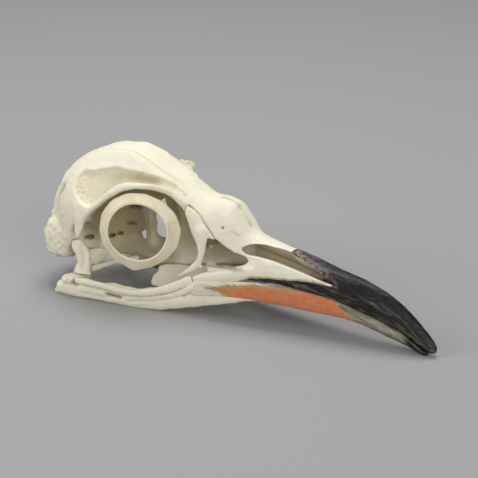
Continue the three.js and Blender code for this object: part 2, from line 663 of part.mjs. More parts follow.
// The ring of small plates that stiffened the eyeball: a low cone, turned forward and up.
function scleroticRing(side) {
  const { outer, inner, rise, wall, forward, upward } = RING;
  const band = outer - inner;
  const profile = [
    [inner, rise], [inner + 0.16 * band, rise], [inner + 0.55 * band, 0.6 * rise], [outer, 0],
    [outer - 0.6, -wall], [inner + 0.5 * band, 0.6 * rise - wall], [inner + 0.2, rise - wall], [inner, rise],
  ].map(([r, h]) => new THREE.Vector2(r, h));
  const geometry = new THREE.LatheGeometry(profile, 32);
  const radians = Math.PI / 180;
  geometry.scale(1.03, 1, 0.97);
  geometry.rotateX(side < 0 ? Math.PI : 0);
  geometry.rotateX(side * upward * radians);
  geometry.rotateZ(-side * forward * radians);
  geometry.translate(RING.x, side * RING.y, RING.z);
  return solid(geometry);
}

// Putting the pieces together

const bonePaint = new THREE.MeshStandardMaterial({ color: 0xe9e4cc, roughness: 0.55, metalness: 0 });
const ringPaint = new THREE.MeshStandardMaterial({ color: 0xddd3b4, roughness: 0.5, metalness: 0 });
const hornPaint = new THREE.MeshStandardMaterial({ color: 0x2a292b, roughness: 0.3, metalness: 0 });
const platePaint = new THREE.MeshStandardMaterial({ color: 0xc4714c, roughness: 0.45, metalness: 0 });

const skull = new THREE.Group();

function place(name, whole, paint) {
  const mesh = largest(whole).getMesh();
  const places = new Float32Array(mesh.numVert * 3);
  for (let i = 0; i < mesh.numVert; i++) {
    places.set(mesh.vertProperties.subarray(i * mesh.numProp, i * mesh.numProp + 3), i * 3);
  }
  const geometry = new THREE.BufferGeometry();
  geometry.setAttribute("position", new THREE.BufferAttribute(places, 3));
  geometry.setIndex(new THREE.BufferAttribute(new Uint32Array(mesh.triVerts), 1));
  const made = new THREE.Mesh(geometry, paint);
  made.name = name;
  made.position.x = -MIDDLE;
  skull.add(made);
}

let head = skullAndBill();
const bothJaws = join(wholeJaw(RIGHT), wholeJaw(LEFT));
const horn = cut(bothJaws.intersect(lowerHornZone()), jugalBar(RIGHT, GAP), jugalBar(LEFT, GAP));
for (const [side, name] of [
  [RIGHT, "right"],
  [LEFT, "left"],
]) {
  const clear = (build) => build(side, GAP);
  place(`lacrimal_${name}`, cut(join(head.intersect(lacrimalZone(side)), lacrimalPillar(side)), clear(jugalBar)), bonePaint);
  head = cut(head, [lacrimalZone, lacrimalPillar, jugalBar, quadrate, pterygoid, palatine].map(clear));
  place(`mandible_${name}`, cut(wholeJaw(side), lowerHornZone(GAP), clear(quadrate), clear(jugalBar)), bonePaint);
  place(`jugal_bar_${name}`, jugalBar(side), bonePaint);
  place(`quadrate_${name}`, cut(quadrate(side), clear(jugalBar), clear(pterygoid)), bonePaint);
  place(`pterygoid_${name}`, pterygoid(side), bonePaint);
  place(`palatine_${name}`, cut(palatine(side), clear(pterygoid), clear(lacrimalPillar)), bonePaint);
  place(`sclerotic_ring_${name}`, scleroticRing(side), ringPaint);
}
const bill = cut(head, box(-20, HINGE_X + GAP, -40, 40, -10, 90));
place("cranium", cut(head, box(HINGE_X, 230, -40, 40, -10, 90)), bonePaint);
place("upper_bill", cut(bill, hornZone(GAP)), bonePaint);
place("upper_horn", bill.intersect(hornZone()), hornPaint);
place("lower_horn", horn, platePaint);

export default skull;
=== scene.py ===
"""The skull of a great penguin, closed, lying on its lower jaw and the tip of its bill.

Shapes are worked out in millimetres along the skull: x runs from the back of the ear region (0) to the
tip of the bill (200), y to the animal's left and z up from the floor. They are put into meshes in metres,
shifted so that the origin lies under the skull's middle, as the frame has it.
"""

import math

import bpy
import numpy as np
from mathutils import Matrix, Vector


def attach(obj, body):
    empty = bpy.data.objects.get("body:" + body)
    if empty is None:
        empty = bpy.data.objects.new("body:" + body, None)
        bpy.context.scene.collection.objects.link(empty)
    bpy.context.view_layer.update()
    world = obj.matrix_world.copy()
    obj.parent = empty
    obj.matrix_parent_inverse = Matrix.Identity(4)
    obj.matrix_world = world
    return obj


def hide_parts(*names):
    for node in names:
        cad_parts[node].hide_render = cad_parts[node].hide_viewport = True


bl_info = {
    "name": "Penguin Skull",
    "version": (1, 0, 0),
    "blender": (4, 5, 0),
    "location": "3D View > Sidebar > Penguin Skull",
    "description": "Builds a penguin skull with its horn bill, bone by bone",
    "category": "Mesh",
}

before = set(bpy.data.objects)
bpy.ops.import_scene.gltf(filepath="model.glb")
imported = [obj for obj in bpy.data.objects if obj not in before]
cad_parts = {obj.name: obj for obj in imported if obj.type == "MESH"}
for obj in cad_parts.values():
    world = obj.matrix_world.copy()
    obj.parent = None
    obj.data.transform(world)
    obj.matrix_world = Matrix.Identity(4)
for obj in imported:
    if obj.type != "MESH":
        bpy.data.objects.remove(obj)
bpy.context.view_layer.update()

MM = 0.001
RIGHT, LEFT = -1, 1
SIDES = {"right": RIGHT, "left": LEFT}

# Sizes in millimetres that the frame's solids share
MIDDLE = 99.0  # x of the skull's middle, the origin of the frame
GAP = 0.35  # clear space between two bones that touch
CREST_OUT, CREST_BROAD = 7.5, 5.0  # the two long swellings of the roof
ORBIT_X, ORBIT_Z, ORBIT_OPEN = 60.0, 34.0, 36.0  # what each orbit narrows to, and how far out it reaches
SEPTUM_HALF = 1.1  # half the thickness of the wall between the orbits
TIP_X = 200.0


# Curves through stations


def along(names, *stations):
    """Reads sizes at any x from stations (x, size, size...).

    Between two stations each size follows the cubic with the harmonic mean of the neighbouring slopes,
    so that it never overshoots them.
    """
    table = np.array(stations, float)
    at, values = table[:, 0], table[:, 1:]
    span = np.diff(at)
    steps = np.diff(values, axis=0) / span[:, None]
    slopes = np.vstack([steps[:1], np.zeros_like(steps[1:]), steps[-1:]])
    before, after = steps[:-1], steps[1:]
    same_way = before * after > 0
    slopes[1:-1][same_way] = (2 * before * after)[same_way] / (before + after)[same_way]

    def read(x):
        x = np.asarray(x, float)
        i = np.clip(np.searchsorted(at, x, side="right") - 1, 0, len(span) - 1)
        t = np.clip((x - at[i]) / span[i], 0, 1)[..., None]
        wide = span[i][..., None]
        sizes = (
            values[i] * (1 + 2 * t) * (1 - t) ** 2
            + values[i + 1] * t * t * (3 - 2 * t)
            + wide * (slopes[i] * t * (1 - t) ** 2 - slopes[i + 1] * t * t * (1 - t))
        )
        return dict(zip(names.split(), np.moveaxis(sizes, -1, 0)))

    return read


def line_through(keys, closed=False):
    """A smooth line through points: between two of them the cubic whose ends follow their neighbours,
    with each stretch weighted by the square root of its length (a centripetal Catmull-Rom line)."""
    keys = np.array(keys, float)
    if closed:
        beads = np.vstack([keys[-1:], keys, keys[:2]])
        count = len(keys)
    else:
        beads = np.vstack([2 * keys[0] - keys[1], keys, 2 * keys[-1] - keys[-2]])
        count = len(keys) - 1

    def read(t):
        place = np.asarray(t, float) * count
        place = np.mod(place, count) if closed else np.clip(place, 0, count - 1e-9)
        i = place.astype(int)
        w = (place - i)[..., None]
        a, b, c, d = beads[i], beads[i + 1], beads[i + 2], beads[i + 3]
        ab, bc, cd = (np.sqrt(np.linalg.norm(q - p, axis=-1))[..., None] for p, q in ((a, b), (b, c), (c, d)))
        ab, cd = (np.where(length < 1e-4, bc, length) for length in (ab, cd))
        start = bc * ((b - a) / ab - (c - a) / (ab + bc) + (c - b) / bc)
        end = bc * ((c - b) / bc - (d - b) / (bc + cd) + (d - c) / cd)
        return b + start * w + (3 * (c - b) - 2 * start - end) * w**2 + (2 * (b - c) + start + end) * w**3

    return read


def power(value, p):
    """The size of a value to a power, with its sign kept."""
    return np.sign(value) * np.abs(value) ** p


def bell(value, centre, width):
    """1 at the centre, falling off on both sides as a bell does."""
    return np.exp(-(((value - centre) / width) ** 2))


def smooth(t):
    """0 below 0, 1 above 1 and an even S between."""
    t = np.clip(t, 0, 1)
    return t * t * (3 - 2 * t)


# Closed surfaces in skull millimetres: points, four-sided faces and three-sided faces


def skin(point, rings, round_):
    """A closed surface: the grid point(t, v), t from end to end and v once round, shut by a point in the
    middle of its first and last ring."""
    t, v = np.meshgrid(np.linspace(0, 1, rings + 1), np.arange(round_) / round_, indexing="ij")
    grid = np.stack(np.broadcast_arrays(*point(t, v)), axis=-1)
    points = np.vstack([grid.reshape(-1, 3), grid[:1].mean(axis=1), grid[-1:].mean(axis=1)])
    place = np.arange((rings + 1) * round_).reshape(rings + 1, round_)
    turned = np.roll(place, -1, axis=1)
    quads = np.stack([place[:-1], turned[:-1], turned[1:], place[1:]], axis=-1).reshape(-1, 4)
    first, last = len(points) - 2, len(points) - 1
    caps = np.vstack([
        np.column_stack([np.full(round_, first), turned[0], place[0]]),
        np.column_stack([np.full(round_, last), place[-1], turned[-1]]),
    ])
    return points, quads, caps


def slab(outline, y0, y1, curved=0):
    """A block whose side view is an outline of (x, z), carried straight from y0 to y1. A curved outline
    follows the smooth line through its points, read at so many places."""
    edge = np.array(outline, float)
    if curved:
        edge = line_through(edge, closed=True)(np.arange(curved) / curved)
    count = len(edge)
    sides = [np.column_stack([edge[:, 0], np.full(count, y), edge[:, 1]]) for y in (y0, y1)]
    here = np.arange(count)
    on = np.roll(here, -1)
    quads = np.column_stack([here, on, on + count, here + count])
    return np.vstack(sides), quads, [here[::-1].tolist(), (here + count).tolist()]


def grown(outline, by):
    """A side view with every edge moved out by the same distance, its corners mitred."""
    edge = np.array(outline, float)
    step = np.roll(edge, -1, axis=0) - edge
    way = step / np.linalg.norm(step, axis=1)[:, None]
    before = np.roll(way, 1, axis=0)
    twice_area = np.sum(edge[:, 0] * np.roll(edge[:, 1], -1) - np.roll(edge[:, 0], -1) * edge[:, 1])
    share = np.sign(twice_area) * by / np.maximum(1 + np.sum(way * before, axis=1), 0.35)
    bend = way + before
    return edge + np.column_stack([bend[:, 1], -bend[:, 0]]) * share[:, None]


def bone(keys, side=1, grow=0.0, steps=64, round_=28, up=(0, 0, 1)):
    """A bar along a smooth line. Each key is (x, y, z, half width, half height), and its cut across is an
    ellipse: the width lies across the line and level with the floor, or across up where that is given."""
    keys = np.array(keys, float)
    keys[:, 1] *= side
    route = line_through(keys[:, :3])
    last = len(keys) - 1

    def size(t, column):
        i = np.minimum((t * last).astype(int), last - 1)
        f = smooth(t * last - i)
        return keys[i, column] * (1 - f) + keys[i + 1, column] * f + grow

    def point(t, v):
        ahead = route(np.minimum(t + 1e-3, 1)) - route(np.maximum(t - 1e-3, 0))
        ahead /= np.linalg.norm(ahead, axis=-1)[..., None]
        across = np.cross(ahead, np.array(up, float))
        across /= np.linalg.norm(across, axis=-1)[..., None]
        over = np.cross(across, ahead)
        angle = 2 * np.pi * v
        at = (
            route(t)
            + across * (size(t, 3) * np.cos(angle))[..., None]
            + over * (size(t, 4) * np.sin(angle))[..., None]
            + ahead * (grow * (2 * t - 1))[..., None]
        )
        return at[..., 0], at[..., 1], at[..., 2]

    return skin(point, steps, round_)


def egg(centre, half, side=1, full=2.0, rings=32, round_=40):
    """A ball stretched to three half sizes: the power ellipsoid, squarer in its cuts where full is over 2."""
    p = 2 / full

    def point(t, v):
        polar, angle = np.pi * (0.02 + 0.96 * t), 2 * np.pi * v
        waist = power(np.sin(polar), p)
        return (
            centre[0] + half[0] * waist * power(np.cos(angle), p),
            side * centre[1] + half[1] * waist * power(np.sin(angle), p),
            centre[2] - half[2] * power(np.cos(polar), p),
        )

    return skin(point, rings, round_)


# Noise on whole arrays


def ripple(points, size, seed, waves=24):
    """Soft unevenness, mostly from -1 to 1: plain waves of about one size, in many directions, added."""
    draw = np.random.default_rng(seed)
    ways = draw.normal(size=(waves, 3))
    ways /= np.linalg.norm(ways, axis=1)[:, None]
    pace = 2 * np.pi / (size * draw.uniform(0.7, 1.6, waves))
    turns = points @ (ways * pace[:, None]).T + draw.uniform(0, 2 * np.pi, waves)
    return np.sin(turns).sum(axis=1) / np.sqrt(waves)


# Large odd numbers that turn a cell and a seed into a random-looking place in the cell
CELL_STIR = np.array([73856093, 19349663, 83492791])
SEED_STIR = 2654435761
AXIS_STIR = (40503, 48271, 69621)


def pits(points, cell, seed, size=0.42):
    """Round dimples, 1 in the middle of each: one is set at random in every cell of a grid, and the
    nearest of them counts."""
    home = np.floor(points / cell).astype(int)
    best = np.full(len(points), 9.0)
    for shift in np.ndindex(3, 3, 3):
        corner = home + np.array(shift) - 1
        mixed = corner @ CELL_STIR + seed * SEED_STIR
        draws = [((mixed * k) >> 7) % 1024 / 1024 for k in AXIS_STIR]
        best = np.minimum(best, np.linalg.norm(points / cell - corner - np.column_stack(draws), axis=1))
    return smooth(1 - best / size)


def far_from(points, line):
    """How far each point is from a line of straight stretches."""
    line = np.array(line, float)
    best = np.full(len(points), 1e9)
    for a, b in zip(line[:-1], line[1:]):
        t = np.clip((points - a) @ (b - a) / np.dot(b - a, b - a), 0, 1)
        best = np.minimum(best, np.linalg.norm(points - a - t[:, None] * (b - a), axis=1))
    return best


def beside(points, line):
    """How far each point's side view is from a line of (x, z)."""
    return far_from(points * (1, 0, 1), [(x, 0, z) for x, z in line])


# Blender meshes


def settled(shape):
    """The evaluated mesh of an object, its modifiers used up."""
    graph = bpy.context.evaluated_depsgraph_get()
    graph.update()
    made = bpy.data.meshes.new_from_object(shape.evaluated_get(graph))
    shape.modifiers.clear()
    spent = shape.data
    shape.data = made
    bpy.data.meshes.remove(spent)
    return shape


def solid(name, surface):
    """Puts a closed surface in skull millimetres into a mesh in metres, its faces turned outwards."""
    points, quads, caps = surface
    place = (np.asarray(points) - (MIDDLE, 0, 0)) * MM
    a, b, c, d = (place[quads[:, k]] for k in range(4))
    room = np.einsum("ij,ij->i", a, np.cross(b, c)).sum() + np.einsum("ij,ij->i", a, np.cross(c, d)).sum()
    faces = np.asarray(quads).tolist() + [list(cap) for cap in caps]
    for cap in caps:
        for k in range(1, len(cap) - 1):
            room += np.dot(place[cap[0]], np.cross(place[cap[k]], place[cap[k + 1]]))
    if room < 0:
        faces = [face[::-1] for face in faces]
    mesh = bpy.data.meshes.new(name)
    mesh.from_pydata(place.tolist(), [], faces)
    mesh.update()
    shape = bpy.data.objects.new(name, mesh)
    bpy.context.scene.collection.objects.link(shape)
    return shape


def drop(*shapes):
    for shape in shapes:
        mesh = shape.data
        bpy.data.objects.remove(shape)
        bpy.data.meshes.remove(mesh)


def work(whole, surfaces, how):
    """Joins closed surfaces to a solid (UNION), or cuts them (DIFFERENCE) or all else (INTERSECT) from it."""
    tools = [solid("tool", surface) for surface in surfaces]
    for tool in tools:
        step = whole.modifiers.new(how, "BOOLEAN")
        step.operation, step.solver, step.object = how, "MANIFOLD", tool
    settled(whole)
    drop(*tools)
    return whole


def join(whole, *surfaces):
    return work(whole, surfaces, "UNION")


def cut(whole, *surfaces):
    return work(whole, surfaces, "DIFFERENCE")


def keep(whole, *surfaces):
    return work(whole, surfaces, "INTERSECT")


# Sizes in metres of the small faces of the slighter pieces
FINE_BONE, THIN_BONE = 0.0004, 0.0003


def soften(shape, fineness, passes):
    """Remakes a solid's surface in even small faces and smooths it, so that joints and cuts run together."""
    remade = shape.modifiers.new("even faces", "REMESH")
    remade.mode, remade.voxel_size, remade.use_smooth_shade = "VOXEL", fineness, True
    eased = shape.modifiers.new("smooth", "SMOOTH")
    eased.factor, eased.iterations = 0.5, passes
    settled(shape)
    bpy.ops.object.select_all(action="DESELECT")
    shape.select_set(True)
    bpy.context.view_layer.objects.active = shape
    bpy.ops.mesh.separate(type="LOOSE")
    bodies = sorted(bpy.context.selected_objects, key=lambda o: len(o.data.vertices))
    drop(*bodies[:-1])
    return bodies[-1]


def read_surface(mesh):
    """A mesh's points in skull millimetres, and its normals."""
    count = len(mesh.vertices)
    place, normal = np.empty(count * 3, np.float32), np.empty(count * 3, np.float32)
    mesh.vertices.foreach_get("co", place)
    mesh.vertex_normals.foreach_get("vector", normal)
    return place.reshape(-1, 3).astype(float) / MM + (MIDDLE, 0, 0), normal.reshape(-1, 3).astype(float)


def move_surface(mesh, points, normals, out):
    """Moves each point out along its normal by so many millimetres, and in where that is below 0."""
    place = (points + normals * out[:, None] - (MIDDLE, 0, 0)) * MM
    mesh.vertices.foreach_set("co", place.astype(np.float32).ravel())
    mesh.update()


def mark(mesh, **masks):
    """Keeps numbers on the mesh's points, for its material to read."""
    for name, values in masks.items():
        kept = mesh.attributes.new(name, "FLOAT_VECTOR" if np.ndim(values) == 2 else "FLOAT", "POINT")
        values = np.asarray(values, np.float32)
        kept.data.foreach_set("vector" if values.ndim == 2 else "value", values.ravel())


def finished(shape, name, material, slot, *nodes):
    """Names a piece, gives it its material and smooth faces, hangs it on the root body and hides the solids
    of the frame that it stands for.
    """
    shape.name = shape.data.name = name
    shape.data.materials.clear()
    shape.data.materials.append(material)
    shape.data.polygons.foreach_set("use_smooth", np.ones(len(shape.data.polygons), bool))
    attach(shape, "root")
    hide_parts(*nodes)
    return shape


# The outer form of the skull and upper bill, as if nothing were hollow. half is half the width, side the
# height where it is widest, top and base the heights of roof and underside, crest the height of the two long
# swellings, and arch and keel how square the roof and the underside are.

FORM = along(
    "half side top base crest arch keel",
    (-1.2, 3.5, 35, 38, 31, 0, 2, 2),
    (0.4, 8, 34, 43, 25, 0, 2, 2),
    (3, 11.5, 34, 47.2, 20, 0, 2, 2),
    (7, 15, 35, 52.6, 17, 0, 2, 2),
    (12, 20, 37, 58.6, 15.5, 0.2, 2, 2),
    (18, 23.6, 38, 62.6, 15.5, 0.8, 2, 2),
    (25, 25.8, 39, 65.2, 16, 1.8, 2, 2),
    (33, 27, 42.5, 66.6, 16, 3, 1.9, 2),
    (40, 26, 49, 66.6, 16, 3.8, 1.8, 2),
    (47, 23.5, 55, 65.2, 15.5, 5, 1.8, 2),
    (54, 20.6, 57.6, 62.6, 15, 4.8, 2, 2),
    (60, 17.8, 57.6, 60.2, 15, 4, 2.4, 2),
    (67, 15, 55.6, 58.2, 15.5, 2.6, 2.4, 2),
    (73, 13.2, 51.6, 57.2, 17, 1, 2, 2.4),
    (79, 12.7, 46, 55.8, 18.5, 0.3, 1.9, 3),
    (86, 13.1, 39, 53.8, 19, 0.4, 1.9, 4),
    (93, 13.1, 34, 53.6, 19.3, 0.9, 2, 5),
    (98, 12.7, 30, 52.6, 19.6, 1, 2, 5),
    (103, 12.3, 26, 46.8, 20, 0.6, 2.1, 5),
    (108, 11.7, 23.4, 40.6, 20.4, 0.2, 2, 5),
    (118, 10.6, 22.6, 37.4, 21, 0, 2.1, 5),
    (129, 9.4, 22.2, 35.3, 21, 0, 2.4, 5),
    (140, 8.2, 21.4, 32.9, 20.3, 0, 2.5, 5),
    (151, 7, 20, 30.4, 19, 0, 2.4, 5),
    (161, 6.1, 17.8, 28.8, 16.6, 0, 2.3, 5),
    (171, 5.2, 15, 26.1, 14, 0, 2.1, 5),
    (180, 4.4, 12, 22.2, 11, 0, 2, 4),
    (188, 3.5, 8.6, 16.8, 7.2, 0, 2, 3),
    (194, 2.7, 5.6, 11.4, 3.6, 0, 2, 2.5),
    (198, 1.9, 4, 7.5, 1.4, 0, 2, 2.2),
    (TIP_X, 0.9, 3.6, 5, 2, 0, 2, 2),
)


def form_point(x, angle, grow=0.0):
    """A point of the outer form at x: a power ellipse, its angle counted from the widest line upward."""
    f = FORM(x)
    above = np.sin(angle) >= 0
    p = 2 / np.where(above, f["arch"], f["keel"])
    tall = np.where(above, f["top"] - f["side"], f["side"] - f["base"]) + grow
    y = (f["half"] + grow) * power(np.cos(angle), p)
    crest = np.where(above, f["crest"] * bell(np.abs(y), CREST_OUT, CREST_BROAD), 0)
    return x, y, f["side"] + tall * power(np.sin(angle), p) + crest


def form_normal(x, angle):
    """The way out of the form: across two short steps, one along it and one round it."""
    step = 0.02
    at, on, over = (np.stack(np.broadcast_arrays(*p), axis=-1) for p in (
        form_point(x, angle), form_point(x + step, angle), form_point(x, angle + step),
    ))
    way = np.cross(on - at, over - at)
    return way / np.linalg.norm(way, axis=-1)[..., None]


def outer_form(start=-1.2, grow=0.0):
    """The outer form from a place along the skull to the tip, its rings drawn together at both ends."""

    def point(t, v):
        x = start + (TIP_X - start) * (t - 0.02 * np.sin(2 * np.pi * t))
        return form_point(x, 2 * np.pi * v, grow)

    return skin(point, 240, 112)


def depth_inside(points):
    """How deep points lie inside the outer form: 0 on it, 1 at its heart (the form's own power sum)."""
    f = FORM(points[:, 0])
    above = points[:, 2] >= f["side"]
    p = np.where(above, f["arch"], f["keel"])
    crest = f["crest"] * bell(np.abs(points[:, 1]), CREST_OUT, CREST_BROAD)
    tall = np.where(above, f["top"] - f["side"] + crest, f["side"] - f["base"])
    across = np.abs(points[:, 1]) / f["half"]
    up = np.abs(points[:, 2] - f["side"]) / np.maximum(tall, 0.5)
    return 1 - (across**p + up**p) ** (1 / p)


# The gland hollow above each orbit: a long comma sunk into the roof, in degrees round the outer form

GLAND_START, GLAND_END = 22.0, 77.5
GLAND_DEEPER = 2.0  # the tool against the depths in the table, as softening fills the hollow again
GLAND = along(
    "angle broad deep",
    (22, 38, 5, 0.3),
    (25, 37, 14, 1.1),
    (30, 32, 18.5, 1.7),
    (36, 30, 23, 2),
    (42, 32, 21, 2),
    (48, 35, 15, 1.6),
    (54, 38, 13, 1.3),
    (60, 41.5, 12.4, 1.1),
    (66, 42.5, 12, 0.8),
    (72, 42.5, 10, 0.6),
    (77.5, 43, 5, 0.3),
)


def gland(side):
    """The tool that sinks the hollow: a flat bar whose middle follows the outer form, square at its edges."""

    def point(t, v):
        x = GLAND_START + (GLAND_END - GLAND_START) * t
        g = GLAND(x)
        turn = 2 * np.pi * v
        angle = np.radians(g["angle"] + g["broad"] * power(np.cos(turn), 0.6))
        at = np.stack(np.broadcast_arrays(*form_point(x, angle)), axis=-1)
        at = at + form_normal(x, angle) * (g["deep"] * GLAND_DEEPER * power(np.sin(turn), 0.6))[..., None]
        return at[..., 0], side * at[..., 1], at[..., 2]

    return skin(point, 90, 40)


# The orbits and the other openings, whose side views are lines of (x, z). ORBIT_SIZE is the orbit's size at a
# distance from the midline, against its open edge.

ORBIT_EDGE = [
    (29.8, 31), (30.6, 38), (33, 41.7), (37.9, 46.2), (43.6, 51.2), (49, 54.8), (56, 56.8), (62.4, 56.9),
    (68.6, 55.6), (73.8, 53), (77.8, 49.4), (80, 45), (82.2, 39), (85, 34), (86, 28), (85, 20), (80, 11),
    (70, 5), (56, 4), (44, 5), (36, 10), (31.4, 20),
]
ORBIT_SIZE = along("size", (SEPTUM_HALF, 0.6), (3, 0.72), (7, 0.86), (12, 0.95), (18, 0.99), (ORBIT_OPEN, 1))


def orbit(side):
    """The bowl of an orbit: its open edge, drawn in towards one middle the nearer it is to the midline."""
    edge = line_through(ORBIT_EDGE, closed=True)

    def point(t, v):
        y = SEPTUM_HALF + (ORBIT_OPEN - SEPTUM_HALF) * t**1.6
        size = ORBIT_SIZE(y)["size"]
        at = edge(v)
        return ORBIT_X + (at[..., 0] - ORBIT_X) * size, side * y, ORBIT_Z + (at[..., 1] - ORBIT_Z) * size

    return skin(point, 48, 120)


# The side opening of the bill behind the nostril, and the nostril's slot
FENESTRA = [
    (84, 40), (86, 37.8), (95, 37.4), (98, 35.5), (101.2, 33.9), (105.8, 32.1), (109, 31.2), (110.3, 29.4),
    (108, 27.6), (103.7, 25.9), (98.3, 24.4), (84, 23),
]
NARIS = [
    (106.2, 34.6), (108.8, 36.4), (114, 36.9), (120, 36.3), (126, 35.6), (132, 34.4), (139, 32),
    (146, 29.2), (151.4, 27), (153.4, 25.4), (152, 25.2), (147, 26), (139.5, 27.7), (131.6, 29.3),
    (123, 30.8), (114, 31.8), (108.6, 32.4),
]
# The gap up through the palate, the wall that stands in it, and the two windows between the orbits
PALATE_GAP = [(66, 8), (66, 14.6), (84, 24.6), (100, 26), (112, 25), (112, 8)]
MID_WALL = [(72, 40), (72, 17.5), (80, 19.8), (100, 24), (112, 25.8), (112, 38), (100, 42), (80, 42)]
MID_WALL_HALF = 0.9
WINDOW = [
    (54.4, 28.4), (59.6, 27.2), (64.6, 30), (67.4, 36.8), (66.6, 43.6), (61, 48), (55.6, 44), (53.6, 36),
]
SMALL_WINDOW = [(43.4, 25.8), (48.4, 24), (48.6, 30)]
NOSE_START, NOSE_LONG = 84, 68
NOSE_WALL = 1.9  # thickness of the bill's walls beside the nose cavity
NOSE_ROOF, NOSE_FLOOR = 4.4, 4.6  # the same above and below it
NOSE_TOP, NOSE_BASE = 40, 24  # the heights that it is levelled off at


def nose_cavity(side):
    """The room inside the bill beside the midline wall: the outer form drawn in by a wall's thickness, and
    levelled off above, below and at the midline."""

    def point(t, v):
        x = NOSE_START + NOSE_LONG * t
        f = FORM(x)
        _, y, z = form_point(x, 2 * np.pi * v, -NOSE_WALL)
        high = np.minimum(f["top"] - NOSE_ROOF, NOSE_TOP)
        low = np.maximum(f["base"] + NOSE_FLOOR, NOSE_BASE)
        return x, side * np.maximum(y, MID_WALL_HALF), np.clip(z, low, high)

    return skin(point, 90, 96)


def naris(side):
    """The tool that opens the nostril's long slot, used on softened bone and horn to keep its lips even."""
    return slab(NARIS, side * 2, side * 30, curved=120)


# Holes for nerves and vessels: (x, y, z, half length, half depth, half height)
FORAMINA = [
    (44.4, 2.9, 40.4, 3.4, 2.1, 1.6),
    (41.8, 2.9, 31.6, 2.6, 2.1, 1.4),
    (36.4, 5.2, 26.6, 1.1, 3.6, 0.9),
    (33.7, 7, 25.9, 1.1, 3.6, 0.9),
    (25.8, 17, 25.6, 2.2, 5, 1.5),
    (97, 10, 43.1, 0.9, 1.6, 0.7),
]


def foramen(side, spot):
    x, y, z, long, deep, high = spot
    return egg((x, y, z), (long, deep, high), side, rings=12, round_=16)


# Bars and blocks of the braincase and upper jaw


def orbit_rim(side):
    keys = [
        (29.8, 26.2, 37.4, 1.2, 1.4), (33, 26.5, 42.6, 1.3, 1.2), (38, 25.9, 47.5, 1.3, 1.1),
        (44, 24, 53, 1.3, 1.1), (51, 20.8, 57, 1.3, 1.1), (57.6, 18, 58.2, 1.3, 1.1),
        (64.4, 15.2, 57.9, 1.3, 1.1), (70.6, 13, 55.9, 1.3, 1.1), (75.6, 12, 52.8, 1.2, 1.1),
        (78, 11.8, 50.6, 1, 1),
    ]
    return bone(keys, side, up=(0.2, side * 0.3, 1), round_=16)


def postorbital_spike(side):
    keys = [
        (24, 23.4, 47.4, 1, 0.8), (26.4, 24.8, 44, 1.8, 1.2), (28, 25.7, 40, 2.6, 1.5),
        (28.4, 26.2, 36, 2.6, 1.2), (27.9, 26.7, 32.8, 2, 0.9), (27.5, 26.8, 29.2, 0.5, 0.35),
    ]
    return bone(keys, side, up=(0, 1, 0), round_=16)


def nuchal_crest(side):
    keys = [
        (9.6, 7, 54, 1, 0.7), (11.2, 12.6, 51.4, 1.6, 1), (13, 17.2, 47, 1.8, 1),
        (15, 20, 42, 1.8, 1), (18.6, 22, 36.4, 1.8, 1.2),
    ]
    return bone(keys, side, up=(1, 0, 0), round_=16)


def ear_block(side):
    """The rough block round the ear: a full egg with one bar up its back and another down its front."""
    back = [(9, 11, 36, 4.6, 5.6), (8, 11.6, 31, 5, 6.4), (8.6, 12.6, 26, 5, 6.6)]
    front = [
        (19.4, 20.6, 36.6, 2.6, 2.4), (18.6, 20.6, 30, 2.6, 3), (15.6, 19.4, 23, 2.2, 3.2),
        (11.4, 17.4, 17, 1.4, 2.4),
    ]
    bars = [bone(keys, side, up=(1, 0, 0), steps=24) for keys in (back, front)]
    return [egg((9.6, 13, 23), (9, 8, 10.6), side, full=2.7), *bars]


def ear_hollow(side):
    return egg((29.5, 24, 24.5), (8.4, 11, 12.4), side, full=2.2)


def maxilla(side):
    keys = [
        (83, 16.9, 16.2, 0.9, 2), (90, 14.9, 18.8, 1.4, 2.8), (98, 13.3, 20.9, 1.6, 3),
        (106, 11.9, 22.9, 1.6, 3.2), (114, 10.4, 25.2, 1.4, 2.6),
    ]
    return bone(keys, side, round_=20)


# The bar along the middle of the skull's underside
KEEL = [
    (34, 0, 18.6, 5, 2.8), (44, 0, 17.6, 3, 2), (54, 0, 16.6, 2.2, 1.7), (66, 0, 16.8, 1.9, 1.7),
    (78, 0, 19.6, 1.5, 1.6), (96, 0, 23.6, 1.2, 1.6), (110, 0, 25.6, 1, 1.4),
]
# The uneven bar behind the window between the orbits, and a knob and a flake in the nose room
COLUMN = [
    (52.6, 0, 25, 1.8, 1.6), (51.8, 0, 29, 1.2, 2.2), (52, 0, 33, 2, 2.6), (51, 0, 38, 1.2, 2),
    (50.6, 0, 42, 1.8, 2.2), (49.4, 0, 47, 0.8, 1.2),
]
NOSE_KNOB = [(88, 0.6, 31, 0.9, 0.9), (88, 4, 31, 0.8, 0.8), (88, 6.4, 31, 1.5, 1.4), (88, 7.6, 31, 0.5, 0.5)]
NOSE_FLAKE = [
    (93, 13.4, 20.6, 1.2, 0.8), (91, 10.5, 22.4, 2.8, 0.6), (89.4, 8, 23.8, 3, 0.45),
    (88.6, 6.8, 24.6, 1.6, 0.35),
]
# The bite out of the left edge of the roof, and the knobs left standing in it
BROKEN_EDGE = [
    (60.5, 20, 57, 1.5, 4), (65, 17, 57.4, 3.4, 5), (71, 14.4, 55.6, 4, 5),
    (77, 13.6, 52, 3.4, 4.4), (82, 14.6, 48.6, 1.6, 3),
]
BROKEN_KNOBS = [
    [
        (54, 19, 57.2, 1.6, 1.2), (56.8, 18, 57.6, 2.4, 2.4), (60.8, 17.6, 57.8, 2.2, 3),
        (63, 17.8, 59.8, 1.6, 1.7),
    ],
    [(61, 16.2, 56.6, 2.2, 2), (65, 14.8, 55.4, 1.6, 1.7), (68.4, 13.6, 53.6, 1, 1.2)],
]
BROKEN_LINE = [(56, 18, 57), (64, 17, 57), (70, 14, 53)]

